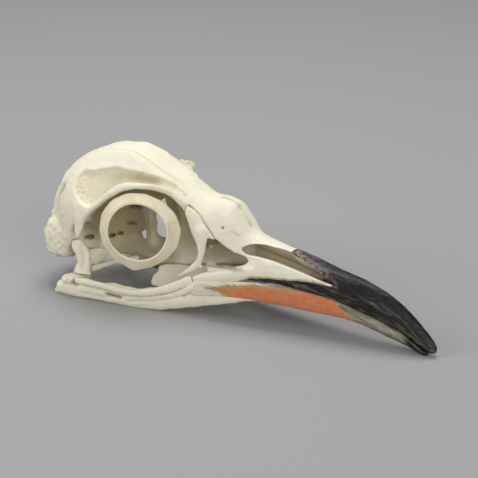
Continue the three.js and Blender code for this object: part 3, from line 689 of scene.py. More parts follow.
# Side views of the zones that part the bones and the horn
HORN_TOP_X = 128
UPPER_HORN = [
    (HORN_TOP_X, 60), (HORN_TOP_X, 34.6), (134, 32.2), (143, 29.2), (148.6, 27), (151.4, 25.9), (151, 25),
    (147, 25.1), (138, 25.2), (126, 24), (113, 22.6), (108.5, 20), (108.5, -10), (230, -10), (230, 60),
]
HORN_LOW_EDGE = UPPER_HORN[7:12]  # along the upper jaw, where the bone is stained
HORN_REAR_EDGE = [(HORN_TOP_X, 35), (134, 32.2), (143, 29.2), (150, 26.8), (153.8, 25.4)]
LOWER_HORN = [
    (83, 12.2), (86, 10.6), (94, 11.4), (102, 12.4), (110, 12.6), (116, 12.4), (119, 6), (119, -10),
    (230, -10), (230, 40), (88, 40), (86, 15.4),
]
HORN_LAP = 0.6  # how far the bone runs on under the horn
LACRIMAL = [(77.9, 50.6), (80.2, 49.6), (85.2, 46.8), (89.4, 42.3), (94.4, 37.4), (94.4, 35.6), (77.9, 35.6)]


def lacrimal_zone(side, grow=0.0):
    return slab(grown(LACRIMAL, grow), side * (9 - grow), side * 30)


def lacrimal_pillar(side, grow=0.0):
    """The pillar down from the lacrimal's plate to its rear spike, and the short knob beside it."""
    pillar = [
        (84.6, 11.9, 44.5, 1.6, 0.4), (86.4, 12.9, 40, 3.4, 1.1), (86.9, 13.1, 36.6, 3.6, 1.2),
        (87.4, 13.4, 32.8, 2.3, 1.2), (87.2, 13.7, 28.6, 1.5, 1.1), (85.6, 14.2, 25, 1.6, 1.1),
        (83.6, 14.8, 22.6, 1.6, 1.1), (80.2, 15.6, 20, 1, 0.9), (76.2, 17, 17.4, 0.4, 0.4),
    ]
    knob = [(85.4, 14.2, 25.4, 0.9, 1), (87, 14, 23.8, 0.9, 1.2), (88.2, 13.8, 22.9, 0.5, 0.6)]
    return [bone(pillar, side, grow, up=(0, 1, 0), round_=20), bone(knob, side, grow, steps=16, round_=16)]


# The lower jaw: out is its distance from the midline, low and high its edges, thick half its thickness

JAW_START, JAW_END = 14.6, 196.0
JAW = along(
    "out low high thick",
    (14.6, 26.4, -0.3, 2.6, 2),
    (18, 26.2, -0.4, 6.2, 2.6),
    (22, 26, -0.4, 8.6, 3.4),
    (28, 25.8, -0.2, 8.2, 3.2),
    (37, 25.4, 0.2, 8.6, 2),
    (46, 24.6, 0.2, 10.4, 1.9),
    (56, 22.8, -0.3, 9.4, 2),
    (67, 20.6, 0.2, 11.4, 2),
    (78, 18.4, 2.4, 15, 1.9),
    (88, 16.4, 4.9, 17.4, 1.8),
    (102, 13.9, 8.6, 19.4, 1.7),
    (117, 11.2, 12.1, 20.7, 1.7),
    (129, 9, 11.8, 20.7, 1.7),
    (140, 7.2, 11.2, 19.9, 1.7),
    (151, 5.6, 10.9, 18.6, 1.7),
    (161, 4.4, 10.1, 16.2, 1.8),
    (171, 3, 7.8, 13.5, 2.1),
    (180, 1.6, 4.9, 10.5, 2.6),
    (188, 0.6, 2.6, 6.6, 2.6),
    (193, 0.2, 0.4, 3.4, 2),
    (196, 0, -0.5, 1.6, 1.2),
)


def ramus(side, grow=0.0, start=JAW_START):
    """One branch of the lower jaw: a rounded upright strip that follows the jaw's stations."""

    def point(t, v):
        x = start + (JAW_END - start) * t
        j = JAW(x)
        angle = 2 * np.pi * v
        y = side * j["out"] + (j["thick"] + grow) * power(np.cos(angle), 0.8)
        z = (j["high"] + j["low"]) / 2 + ((j["high"] - j["low"]) / 2 + grow) * power(np.sin(angle), 0.8)
        return x, y, z

    return skin(point, 240, 48)


def articular(side):
    """The broad rear end of the jaw that the quadrate stands on, and the stub and knobs behind it."""
    shelf = [(24, 30, 8.6, 2, 1.6), (24.6, 26, 9, 4.6, 1.9), (25.6, 20, 8, 3.6, 2), (26.4, 16.6, 7, 1.2, 1.2)]
    stub = [(17.6, 26.2, 4.6, 1.6, 1.6), (20.4, 26, 6.8, 2.6, 3), (24, 26, 8, 3, 2.6)]
    return [
        bone(shelf, side),
        bone(stub, side),
        egg((18.6, 26.4, 3.4), (3.4, 2.9, 3.3), side, full=2.6),
        egg((21.4, 28.4, 8), (1.8, 1.7, 1.6), side),
    ]


# Whatever hangs below the floor is cut off, which leaves the small flats that the jaw rests on
BELOW_FLOOR = slab([(-20, -10), (230, -10), (230, 0), (-20, 0)], -60, 60)


# Bones that stand alone


def quadrate(side, grow=0.0):
    """The quadrate's body, from the braincase down to the jaw, and its blade towards the orbit."""
    body = [
        (22.2, 19.8, 25.6, 2.8, 1.8), (23.4, 20.1, 22.4, 3.8, 2), (26, 20.5, 18.8, 4.4, 2),
        (27.3, 21.4, 15.4, 3.5, 2.2), (27.2, 22.6, 12.6, 4.2, 2.6), (27.2, 23, 10.8, 4.9, 3),
    ]
    blade = [
        (23, 20.4, 18.6, 1.4, 2.4), (28, 18.8, 17.4, 1.5, 4.4), (32, 16.4, 18.8, 1.3, 3.4),
        (36, 12.9, 20.6, 0.9, 1.6),
    ]
    return [bone(body, side, grow, up=(0, 1, 0)), bone(blade, side, grow)]


def pterygoid(side, grow=0.0):
    keys = [
        (29.6, 19.2, 11.9, 1.5, 1.6), (36, 13.4, 14.2, 1.2, 1.3), (41, 9.6, 15.2, 1.3, 1.6),
        (47.6, 5.6, 15.6, 1.6, 2.4),
    ]
    return bone(keys, side, grow)


def jugal_bar(side, grow=0.0):
    keys = [
        (27, 28.4, 8.9, 1.2, 1.6), (34, 28, 9.2, 1, 1.7), (45, 26.8, 8.6, 1, 1.6), (56, 25, 7.8, 1, 1.6),
        (66, 22.8, 9.6, 1.1, 1.8), (75, 19.8, 12.6, 1.2, 2.3), (84.4, 16.5, 16.8, 1.4, 2.7),
    ]
    return bone(keys, side, grow, steps=120)


# The leaves of the palate: near and far are the distances of their edges from the midline, high and low the
# heights there, thick half the thickness
PALATINE_START, PALATINE_LONG = 56.5, 50.0
PALATINE = along(
    "near far high low thick",
    (56.5, 7.6, 9.6, 9.4, 7.4, 0.5),
    (59, 4.2, 10.4, 14.6, 6.6, 0.8),
    (66, 3.2, 10.6, 16.6, 7.8, 0.8),
    (74, 2.6, 10, 17.4, 10.6, 0.8),
    (84, 2.6, 9, 19.6, 15.4, 0.8),
    (94, 3.4, 7.6, 21.6, 19.4, 0.8),
    (106.5, 4.4, 6.6, 23.2, 22.4, 0.7),
)


def palatine(side, grow=0.0):
    """A thin leaf whose inner edge stands high beside the midline, and whose outer edge hangs low."""

    def point(t, v):
        x = PALATINE_START - grow + (PALATINE_LONG + 2 * grow) * t
        p = PALATINE(x)
        turn = 2 * np.pi * v
        share = 0.5 + 0.5 * power(np.cos(turn), 0.7)
        y = p["near"] + (p["far"] - p["near"]) * share + grow * np.cos(turn)
        z = p["high"] + (p["low"] - p["high"]) * share**1.4 + (p["thick"] + grow) * power(np.sin(turn), 0.9)
        return x, side * y, z

    return skin(point, 90, 48)


# Settings that a user may change


class SkullSizes(bpy.types.PropertyGroup):
    fineness: bpy.props.FloatProperty(
        name="Fineness", description="Size of the small faces of the softened bone",
        default=0.0006, min=0.0004, unit="LENGTH",
    )
    ring_outer: bpy.props.FloatProperty(
        name="Eye ring", description="Outer radius of the ring of plates", default=0.0183, unit="LENGTH",
    )
    ring_inner: bpy.props.FloatProperty(
        name="Eye ring hole", description="Inner radius of the ring of plates", default=0.0133, unit="LENGTH",
    )
    sheath: bpy.props.FloatProperty(
        name="Horn sheath", description="How far the horn stands out over the bone", default=0.00015,
        unit="LENGTH",
    )


class SkullColours(bpy.types.PropertyGroup):
    bone: bpy.props.FloatVectorProperty(
        name="Bone", description="Clean outer bone", subtype="COLOR", default=(0.84, 0.80, 0.63),
    )
    # Colour of painted shade in recesses and openings, partly the darker tone of inner bone; darker still for
    # suture lines and the painted shade in foramina
    bone_in_shade: bpy.props.FloatVectorProperty(
        name="Sheltered bone", description="Bone inside the openings", subtype="COLOR",
        default=(0.33, 0.26, 0.125),
    )
    gland: bpy.props.FloatVectorProperty(
        name="Gland hollow", description="Pitted bone of the hollows above the eyes", subtype="COLOR",
        default=(0.72, 0.61, 0.36),
    )
    stain: bpy.props.FloatVectorProperty(
        name="Stain", description="Brown stains along the upper jaw", subtype="COLOR",
        default=(0.27, 0.15, 0.055),
    )
    ring: bpy.props.FloatVectorProperty(
        name="Eye ring", description="Plates of the eye ring", subtype="COLOR", default=(0.84, 0.76, 0.54),
    )
    horn: bpy.props.FloatVectorProperty(
        name="Black horn", description="Horn of the upper bill", subtype="COLOR",
        default=(0.005, 0.005, 0.005),
    )
    plate: bpy.props.FloatVectorProperty(
        name="Bill plate", description="Orange plate of the lower bill", subtype="COLOR",
        default=(0.56, 0.18, 0.075),
    )
    floor: bpy.props.FloatVectorProperty(
        name="Floor", description="Floor and backdrop", subtype="COLOR", default=(0.35, 0.35, 0.35),
    )


def sizes():
    return bpy.context.scene.penguin_skull_sizes


def colours():
    return bpy.context.scene.penguin_skull_colours


# Materials. The colours of streaks, borders and spots are red, green and blue

RING_SPOT = (0.62, 0.46, 0.28)
HORN_BROWN = (0.017, 0.015, 0.013)
HORN_GREY = (0.19, 0.17, 0.14)
FLAKE_DARK = (0.025, 0.018, 0.016)
FLAKE_LILAC = (0.34, 0.26, 0.23)
FLAKE_PALE = (0.50, 0.42, 0.30)
WORN_TIP = (0.20, 0.20, 0.15)
STRIP_DARK = (0.11, 0.10, 0.07)
STRIP_PALE = (0.43, 0.40, 0.29)
WARM_LINE = (0.40, 0.20, 0.08)
POINT_GREY = (0.13, 0.125, 0.10)
PLATE_LIGHT = (0.62, 0.23, 0.10)
PLATE_BORDER = (0.42, 0.26, 0.11)
LAYER_SHADE = (0.52, 0.48, 0.38)
LAYER_PALE = (0.80, 0.75, 0.60)
LOW_SHINE = 0.35  # the specular level of bone and horn


class Board:
    """Puts nodes on a material or a node group, and joins their sockets."""

    def __init__(self, tree):
        self.tree = tree

    def add(self, kind, inputs=None, **settings):
        node = self.tree.nodes.new(kind)
        for name, value in settings.items():
            setattr(node, name, value)
        for name, value in (inputs or {}).items():
            self.put(node.inputs[name], value)
        return node

    def put(self, socket, value):
        if isinstance(value, bpy.types.NodeSocket):
            self.tree.links.new(value, socket)
        else:
            socket.default_value = value

    def maths(self, operation, a, b, clamp=False):
        node = self.add("ShaderNodeMath", {0: a, 1: b}, operation=operation, use_clamp=clamp)
        return node.outputs[0]

    def times(self, a, b):
        return self.maths("MULTIPLY", a, b)

    def plus(self, a, b, clamp=False):
        return self.maths("ADD", a, b, clamp)

    def minus(self, a, b):
        return self.maths("SUBTRACT", a, b)

    def mix(self, share, a, b):
        node = self.add("ShaderNodeMix", data_type="RGBA", blend_type="MIX", clamp_factor=True)
        for socket, value in zip((node.inputs[0], node.inputs[6], node.inputs[7]), (share, a, b)):
            self.put(socket, value)
        return node.outputs[2]

    def spread(self, value, low, high, to_low=0.0, to_high=1.0):
        """Carries the range low to high over to another, evenly and cut off at both ends."""
        settings = {"Value": value, "From Min": low, "From Max": high, "To Min": to_low, "To Max": to_high}
        return self.add("ShaderNodeMapRange", settings).outputs[0]

    def noise(self, place, scale, detail=3.0, rough=0.55, warp=0.0):
        settings = {"Vector": place, "Scale": scale, "Detail": detail, "Roughness": rough, "Distortion": warp}
        return self.add("ShaderNodeTexNoise", settings).outputs["Fac"]

    def attribute(self, name, output="Fac"):
        return self.add("ShaderNodeAttribute", attribute_name=name).outputs[output]


def group(name, inputs, outputs, build):
    """A node group, made once: inputs and outputs name each socket and its kind."""
    if name in bpy.data.node_groups:
        return bpy.data.node_groups[name]
    tree = bpy.data.node_groups.new(name, "ShaderNodeTree")
    for title, kind in inputs.items():
        tree.interface.new_socket(title, in_out="INPUT", socket_type=kind)
    for title, kind in outputs.items():
        tree.interface.new_socket(title, in_out="OUTPUT", socket_type=kind)
    board = Board(tree)
    taken = tree.nodes.new("NodeGroupInput").outputs
    given = tree.nodes.new("NodeGroupOutput").inputs
    for title, value in build(board, taken).items():
        board.put(given[title], value)
    return tree


def bone_grain():
    """Dry bone: faint clouds of tone, fine pores and a low grain, which the bones and the eye rings share."""

    def build(board, taken):
        place = taken["Place"]
        cloud = board.noise(place, 60.0, 4.0, 0.6)
        mottle = board.noise(place, 260.0, 4.0, 0.65)
        pores = board.add("ShaderNodeTexVoronoi", {"Vector": place, "Scale": 900.0}).outputs["Distance"]
        pore = board.spread(pores, 0.0, 0.28, 1.0, 0.0)
        rare = board.spread(board.noise(place, 150.0, 2.0), 0.52, 0.66)
        pore = board.times(pore, rare)
        grain = board.noise(place, 1500.0, 3.0, 0.6)
        tone = board.plus(board.times(cloud, 0.6), board.times(mottle, 0.4))
        height = board.plus(board.times(grain, 0.25), board.times(mottle, 0.5))
        height = board.minus(height, board.times(pore, taken["Pores"]))
        return {"Tone": board.spread(tone, 0.35, 0.65), "Pore": pore, "Height": height}

    return group(
        "bone grain",
        {"Place": "NodeSocketVector", "Pores": "NodeSocketFloat"},
        {"Tone": "NodeSocketFloat", "Pore": "NodeSocketFloat", "Height": "NodeSocketFloat"},
        build,
    )


def solid_colour(colour):
    return (*colour, 1.0)


def new_material(name):
    material = bpy.data.materials.new(name)
    material.use_nodes = True
    tree = material.node_tree
    tree.nodes.clear()
    board = Board(tree)
    shader = board.add("ShaderNodeBsdfPrincipled")
    out = board.add("ShaderNodeOutputMaterial")
    tree.links.new(shader.outputs[0], out.inputs[0])
    return material, board, shader


def relief(board, shader, height, strength, deep):
    """Gives a material its fine relief, and the low shine that bone and horn share."""
    shader.inputs["Specular IOR Level"].default_value = LOW_SHINE
    bump = board.add("ShaderNodeBump", {"Strength": strength, "Distance": deep, "Height": height})
    board.put(shader.inputs["Normal"], bump.outputs[0])


def bone_material():
    """Cream bone. Masks on the mesh's points say where shade is painted (partly the darker tone of inner
    bone), where the bone is pitted and stained, and where its suture lines and the painted shade of foramina
    go.
    """
    if "dry_bone" in bpy.data.materials:
        return bpy.data.materials["dry_bone"]
    material, board, shader = new_material("dry_bone")
    paint = colours()
    place = board.add("ShaderNodeTexCoord").outputs["Object"]
    grain = board.add("ShaderNodeGroup", node_tree=bone_grain())
    board.put(grain.inputs["Place"], place)
    grain.inputs["Pores"].default_value = 0.6
    tone = grain.outputs["Tone"]
    clean = board.mix(tone, solid_colour([c * 0.94 for c in paint.bone]), solid_colour(paint.bone))
    # Painted shade in recesses, openings and grooves, partly the darker tone of inner bone
    sheltered = board.plus(board.attribute("sheltered"), board.times(tone, 0.15), clamp=True)
    sheltered = board.spread(sheltered, 0.08, 1.1)
    colour = board.mix(sheltered, clean, solid_colour(paint.bone_in_shade))
    speckle = board.noise(place, 700.0, 5.0, 0.7)
    pitted = board.attribute("pitted")
    gland_tone = board.times(pitted, board.spread(speckle, 0.3, 0.75, 0.25, 0.95))
    colour = board.mix(gland_tone, colour, solid_colour(paint.gland))
    ragged = board.noise(place, 320.0, 5.0, 0.7)
    stained = board.spread(board.plus(board.attribute("stained"), ragged), 0.75, 1.5)
    colour = board.mix(stained, colour, solid_colour(paint.stain))
    # Dark suture lines, and darker painted shade in foramina and deep grooves
    colour = board.mix(board.attribute("seam"), colour, solid_colour([c * 0.45 for c in paint.bone_in_shade]))
    board.put(shader.inputs["Base Color"], colour)
    board.put(shader.inputs["Roughness"], board.spread(tone, 0.0, 1.0, 0.5, 0.66))
    deep_pits = board.times(board.times(speckle, pitted), 2.2)
    height = board.plus(grain.outputs["Height"], deep_pits)
    relief(board, shader, height, 0.35, 0.00035)
    return material


def ring_material():
    """Tan plates, paler at their edges, with a few warm spots."""
    if "ring_plates" in bpy.data.materials:
        return bpy.data.materials["ring_plates"]
    material, board, shader = new_material("ring_plates")
    paint = colours()
    place = board.add("ShaderNodeTexCoord").outputs["Object"]
    grain = board.add("ShaderNodeGroup", node_tree=bone_grain())
    board.put(grain.inputs["Place"], place)
    grain.inputs["Pores"].default_value = 0.3
    shade = solid_colour([c * 0.9 for c in paint.ring])
    colour = board.mix(grain.outputs["Tone"], shade, solid_colour(paint.ring))
    warm = board.spread(board.noise(place, 130.0, 3.0), 0.5, 0.66)
    colour = board.mix(board.times(warm, 0.6), colour, solid_colour(RING_SPOT))
    pale = board.attribute("edge")
    colour = board.mix(board.times(pale, 0.7), colour, solid_colour(paint.bone))
    board.put(shader.inputs["Base Color"], colour)
    shader.inputs["Roughness"].default_value = 0.45
    relief(board, shader, grain.outputs["Height"], 0.3, 0.0003)
    return material


def horn_streaks():
    """Long fine streaks that follow the bill, from a place stretched along it, which both horns share."""

    def build(board, taken):
        way = taken["Way"]
        broad = board.noise(way, 1.0, 4.0, 0.6, 0.4)
        fine = board.noise(way, 3.6, 5.0, 0.7, 0.2)
        hair = board.noise(way, 11.0, 3.0, 0.6)
        streak = board.plus(board.times(broad, 0.5), board.times(fine, 0.5))
        height = board.plus(board.times(hair, 0.4), board.times(fine, 0.6))
        return {"Broad": broad, "Streak": streak, "Height": height}

    return group(
        "horn streaks",
        {"Way": "NodeSocketVector"},
        {"Broad": "NodeSocketFloat", "Streak": "NodeSocketFloat", "Height": "NodeSocketFloat"},
        build,
    )


def black_horn_material():
    """Black horn: streaks of brown and grey along the bill, and a flaky lilac and bone-coloured rear edge."""
    material, board, shader = new_material("streaked_horn")
    paint = colours()
    way = board.attribute("way", "Vector")
    streaks = board.add("ShaderNodeGroup", node_tree=horn_streaks())
    board.put(streaks.inputs["Way"], way)
    broad = streaks.outputs["Broad"]
    ridge = board.times(board.attribute("ridge"), 0.09)
    streak = board.minus(streaks.outputs["Streak"], ridge)
    place = board.add("ShaderNodeTexCoord").outputs["Object"]
    flake = board.noise(place, 420.0, 4.0, 0.65, 0.6)
    colour = board.mix(board.spread(streak, 0.45, 0.53), solid_colour(paint.horn), solid_colour(HORN_BROWN))
    colour = board.mix(board.spread(streak, 0.53, 0.63), colour, solid_colour(HORN_GREY))
    edge = board.plus(board.attribute("rear"), board.times(board.minus(flake, 0.5), 8.0))
    lilac = board.mix(board.spread(flake, 0.45, 0.56), solid_colour(FLAKE_DARK), solid_colour(FLAKE_LILAC))
    colour = board.mix(board.times(board.spread(edge, 3.8, 1.6), 0.9), colour, lilac)
    colour = board.mix(board.spread(edge, 0.2, -0.7), colour, solid_colour(FLAKE_PALE))
    worn = board.plus(board.attribute("tip"), board.times(streak, 1.6))
    colour = board.mix(board.times(board.spread(worn, 1.4, 2.1), 0.6), colour, solid_colour(WORN_TIP))
    board.put(shader.inputs["Base Color"], colour)
    board.put(shader.inputs["Roughness"], board.spread(broad, 0.35, 0.65, 0.2, 0.42))
    relief(board, shader, streaks.outputs["Height"], 0.55, 0.0004)
    return material


def bill_plate_material():
    """The lower horn: an orange plate with a tan edge, a pale strip above it, and grey and black ahead of it.

    plate, ahead and pale are distances in millimetres inside each zone, below 0 outside it, and lower is the
    height above the horn's lower edge.
    """
    material, board, shader = new_material("plated_horn")
    paint = colours()
    way = board.attribute("way", "Vector")
    place = board.add("ShaderNodeTexCoord").outputs["Object"]
    streaks = board.add("ShaderNodeGroup", node_tree=horn_streaks())
    board.put(streaks.inputs["Way"], way)
    streak = streaks.outputs["Streak"]
    mottle = board.noise(place, 420.0, 4.0, 0.65)
    ragged = board.times(board.minus(streak, 0.5), 4.0)
    strip = board.mix(board.spread(streak, 0.42, 0.6), solid_colour(STRIP_DARK), solid_colour(STRIP_PALE))
    warm = board.spread(board.plus(board.attribute("lower"), ragged), 2.2, 0.6)
    strip = board.mix(board.times(warm, 0.75), strip, solid_colour(WARM_LINE))
    dark = board.mix(board.spread(streak, 0.5, 0.66), solid_colour(paint.horn), solid_colour(POINT_GREY))
    ahead = board.spread(board.plus(board.attribute("ahead"), board.times(ragged, 1.6)), -2.0, 2.0)
    colour = board.mix(ahead, strip, dark)
    border = board.plus(board.attribute("plate"), board.times(ragged, 1.5))
    orange = board.mix(board.spread(mottle, 0.35, 0.65), solid_colour(paint.plate), solid_colour(PLATE_LIGHT))
    colour = board.mix(board.spread(border, -1.6, -0.2), colour, solid_colour(PLATE_BORDER))
    colour = board.mix(board.spread(border, -0.2, 0.8), colour, orange)
    pale = board.plus(board.attribute("pale"), board.times(ragged, 0.5))
    pale = board.spread(pale, -0.4, 0.6)
    layer = board.mix(board.spread(streak, 0.4, 0.62), solid_colour(LAYER_SHADE), solid_colour(LAYER_PALE))
    colour = board.mix(pale, colour, layer)
    board.put(shader.inputs["Base Color"], colour)
    board.put(shader.inputs["Roughness"], board.spread(mottle, 0.3, 0.7, 0.38, 0.5))
    relief(board, shader, streaks.outputs["Height"], 0.3, 0.0003)
    return material


def floor_material():
    material, board, shader = new_material("floor")
    shader.inputs["Base Color"].default_value = solid_colour(colours().floor)
    shader.inputs["Roughness"].default_value = 0.8
    shader.inputs["Specular IOR Level"].default_value = 0.2
    return material


# Wear and marks on finished bones: the lines that creases, grooves, hollows and layers follow. Shade is also
# painted along the ear's recess.

NASAL_CREASE = [(90, 0, 54.4), (93.1, 0, 53.8), (97.7, 0, 51.7), (103, 0, 49.7), (106, 0, 43)]
NASAL_GROOVE = [(96.4, 9.6, 43.2), (99, 9.3, 43), (103, 9, 41), (108, 8, 38.8), (113, 7, 37.2)]
EAR_RECESS = [(12.8, 17.5, 49.5), (10.6, 16.5, 43), (10.8, 17, 37)]
MAXILLA_LAYERS = [
    [(80, 16.5, 14.6), (94.7, 14.6, 18.4), (108, 13, 21.4), (118, 11.4, 23.4)],
    [(86, 14.5, 20), (96, 13, 22.9), (104, 12, 24.4)],
]
COLUMN_LINE = [key[:3] for key in COLUMN]
GLAND_TONE_EDGE = 0.92  # how far the gland hollow's tone and pits reach, against its breadth


def gland_mask(points):
    """1 inside the gland hollows: within their angles round the form, and close under its surface."""
    f = FORM(points[:, 0])
    y, over = np.abs(points[:, 1]), points[:, 2] - f["side"]
    crest = f["crest"] * bell(y, CREST_OUT, CREST_BROAD)
    tall = np.maximum(f["top"] - f["side"], 0.5)
    up = power(np.clip((over - crest) / tall, 0, 1), f["arch"] / 2)
    out = power(np.clip(y / f["half"], 0, 1), f["arch"] / 2)
    angle = np.degrees(np.arctan2(up, out))
    g = GLAND(points[:, 0])
    along_it = smooth((points[:, 0] - GLAND_START) / 2) * smooth((GLAND_END - points[:, 0]) / 2)
    near = smooth((g["broad"] * GLAND_TONE_EDGE - np.abs(angle - g["angle"])) / 2.4 + 0.5)
    return along_it * near * smooth(1.6 - depth_inside(points) / 0.12)


def weathered_and_shaded(shape, side, rough=0.1, grooves=(), stains=()):
    """Gives a softened bone its unevenness, its sunk marks and the masks that its material reads: stains,
    painted shade along the grooves and darker painted shade in the deep ones.

    A groove is (line, width, depth) on the outer face, and a stain (place, width).
    """
    mesh = shape.data
    points, normals = read_surface(mesh)
    mirrored = points * (1, side, 1)
    out = rough * ripple(points, 7.0, 3) + 0.4 * rough * ripple(points, 2.4, 5)
    out -= 1.2 * rough * pits(points, 3.4, 24, 0.2)
    sunk = np.zeros(len(points))
    for line, width, depth in grooves:
        near = bell(far_from(mirrored, line), 0, width)
        out -= depth * near
        sunk = np.maximum(sunk, near * min(depth, 1))
    stained = np.zeros(len(points))
    for place, width in stains:
        stained = np.maximum(stained, bell(np.linalg.norm(mirrored - place, axis=1), 0, width))
    move_surface(mesh, points, normals, out * smooth(points[:, 2] / 0.6))
    none = np.zeros(len(points))
    # Painted shade along the grooves, darker painted shade in the deep ones
    mark(mesh, sheltered=0.5 * sunk, pitted=none, stained=stained, seam=0.7 * smooth(sunk * 2 - 1))
    return shape


# Grooves as (line, width, depth) and stains as (place, width), in millimetres
JAW_GROOVES = [
    ([(43.5, 26.6, 4.7), (47, 26.4, 4.5), (50.2, 26, 4.3)], 1.3, 1.1),
    ([(81, 20, 9.3), (83.6, 19.6, 10.8), (85.6, 19.2, 11.6)], 0.7, 1.3),
    ([(74.2, 21.6, 9.7), (74.6, 21.5, 9.8)], 0.5, 1.2),
    ([(28, 28, 3.4), (37, 27.6, 3), (44, 26.8, 2.8)], 0.8, 0.35),
    ([(54, 25.2, 3), (68, 22.6, 5.2), (80, 20, 9)], 0.7, 0.35),
    ([(38, 27.4, 6.6), (50, 26, 7.2), (62, 23.6, 7.6), (74, 21, 11.4)], 0.5, 0.4),
    ([(40, 25.4, 9.4), (47, 24.8, 9.8), (53, 23.8, 9)], 0.4, 0.35),
]
JAW_STAINS = [((27, 28, 8), 2.4)]
QUADRATE_GROOVES = [
    ([(26, 22.4, 24), (27, 23, 19), (27.6, 24, 15)], 1.6, 0.6),
    ([(30, 19.6, 22), (33, 17.4, 21)], 1, 0.4),
]
QUADRATE_STAINS = [((31, 20, 12.5), 2.6), ((24, 21, 12), 2)]


# Pieces


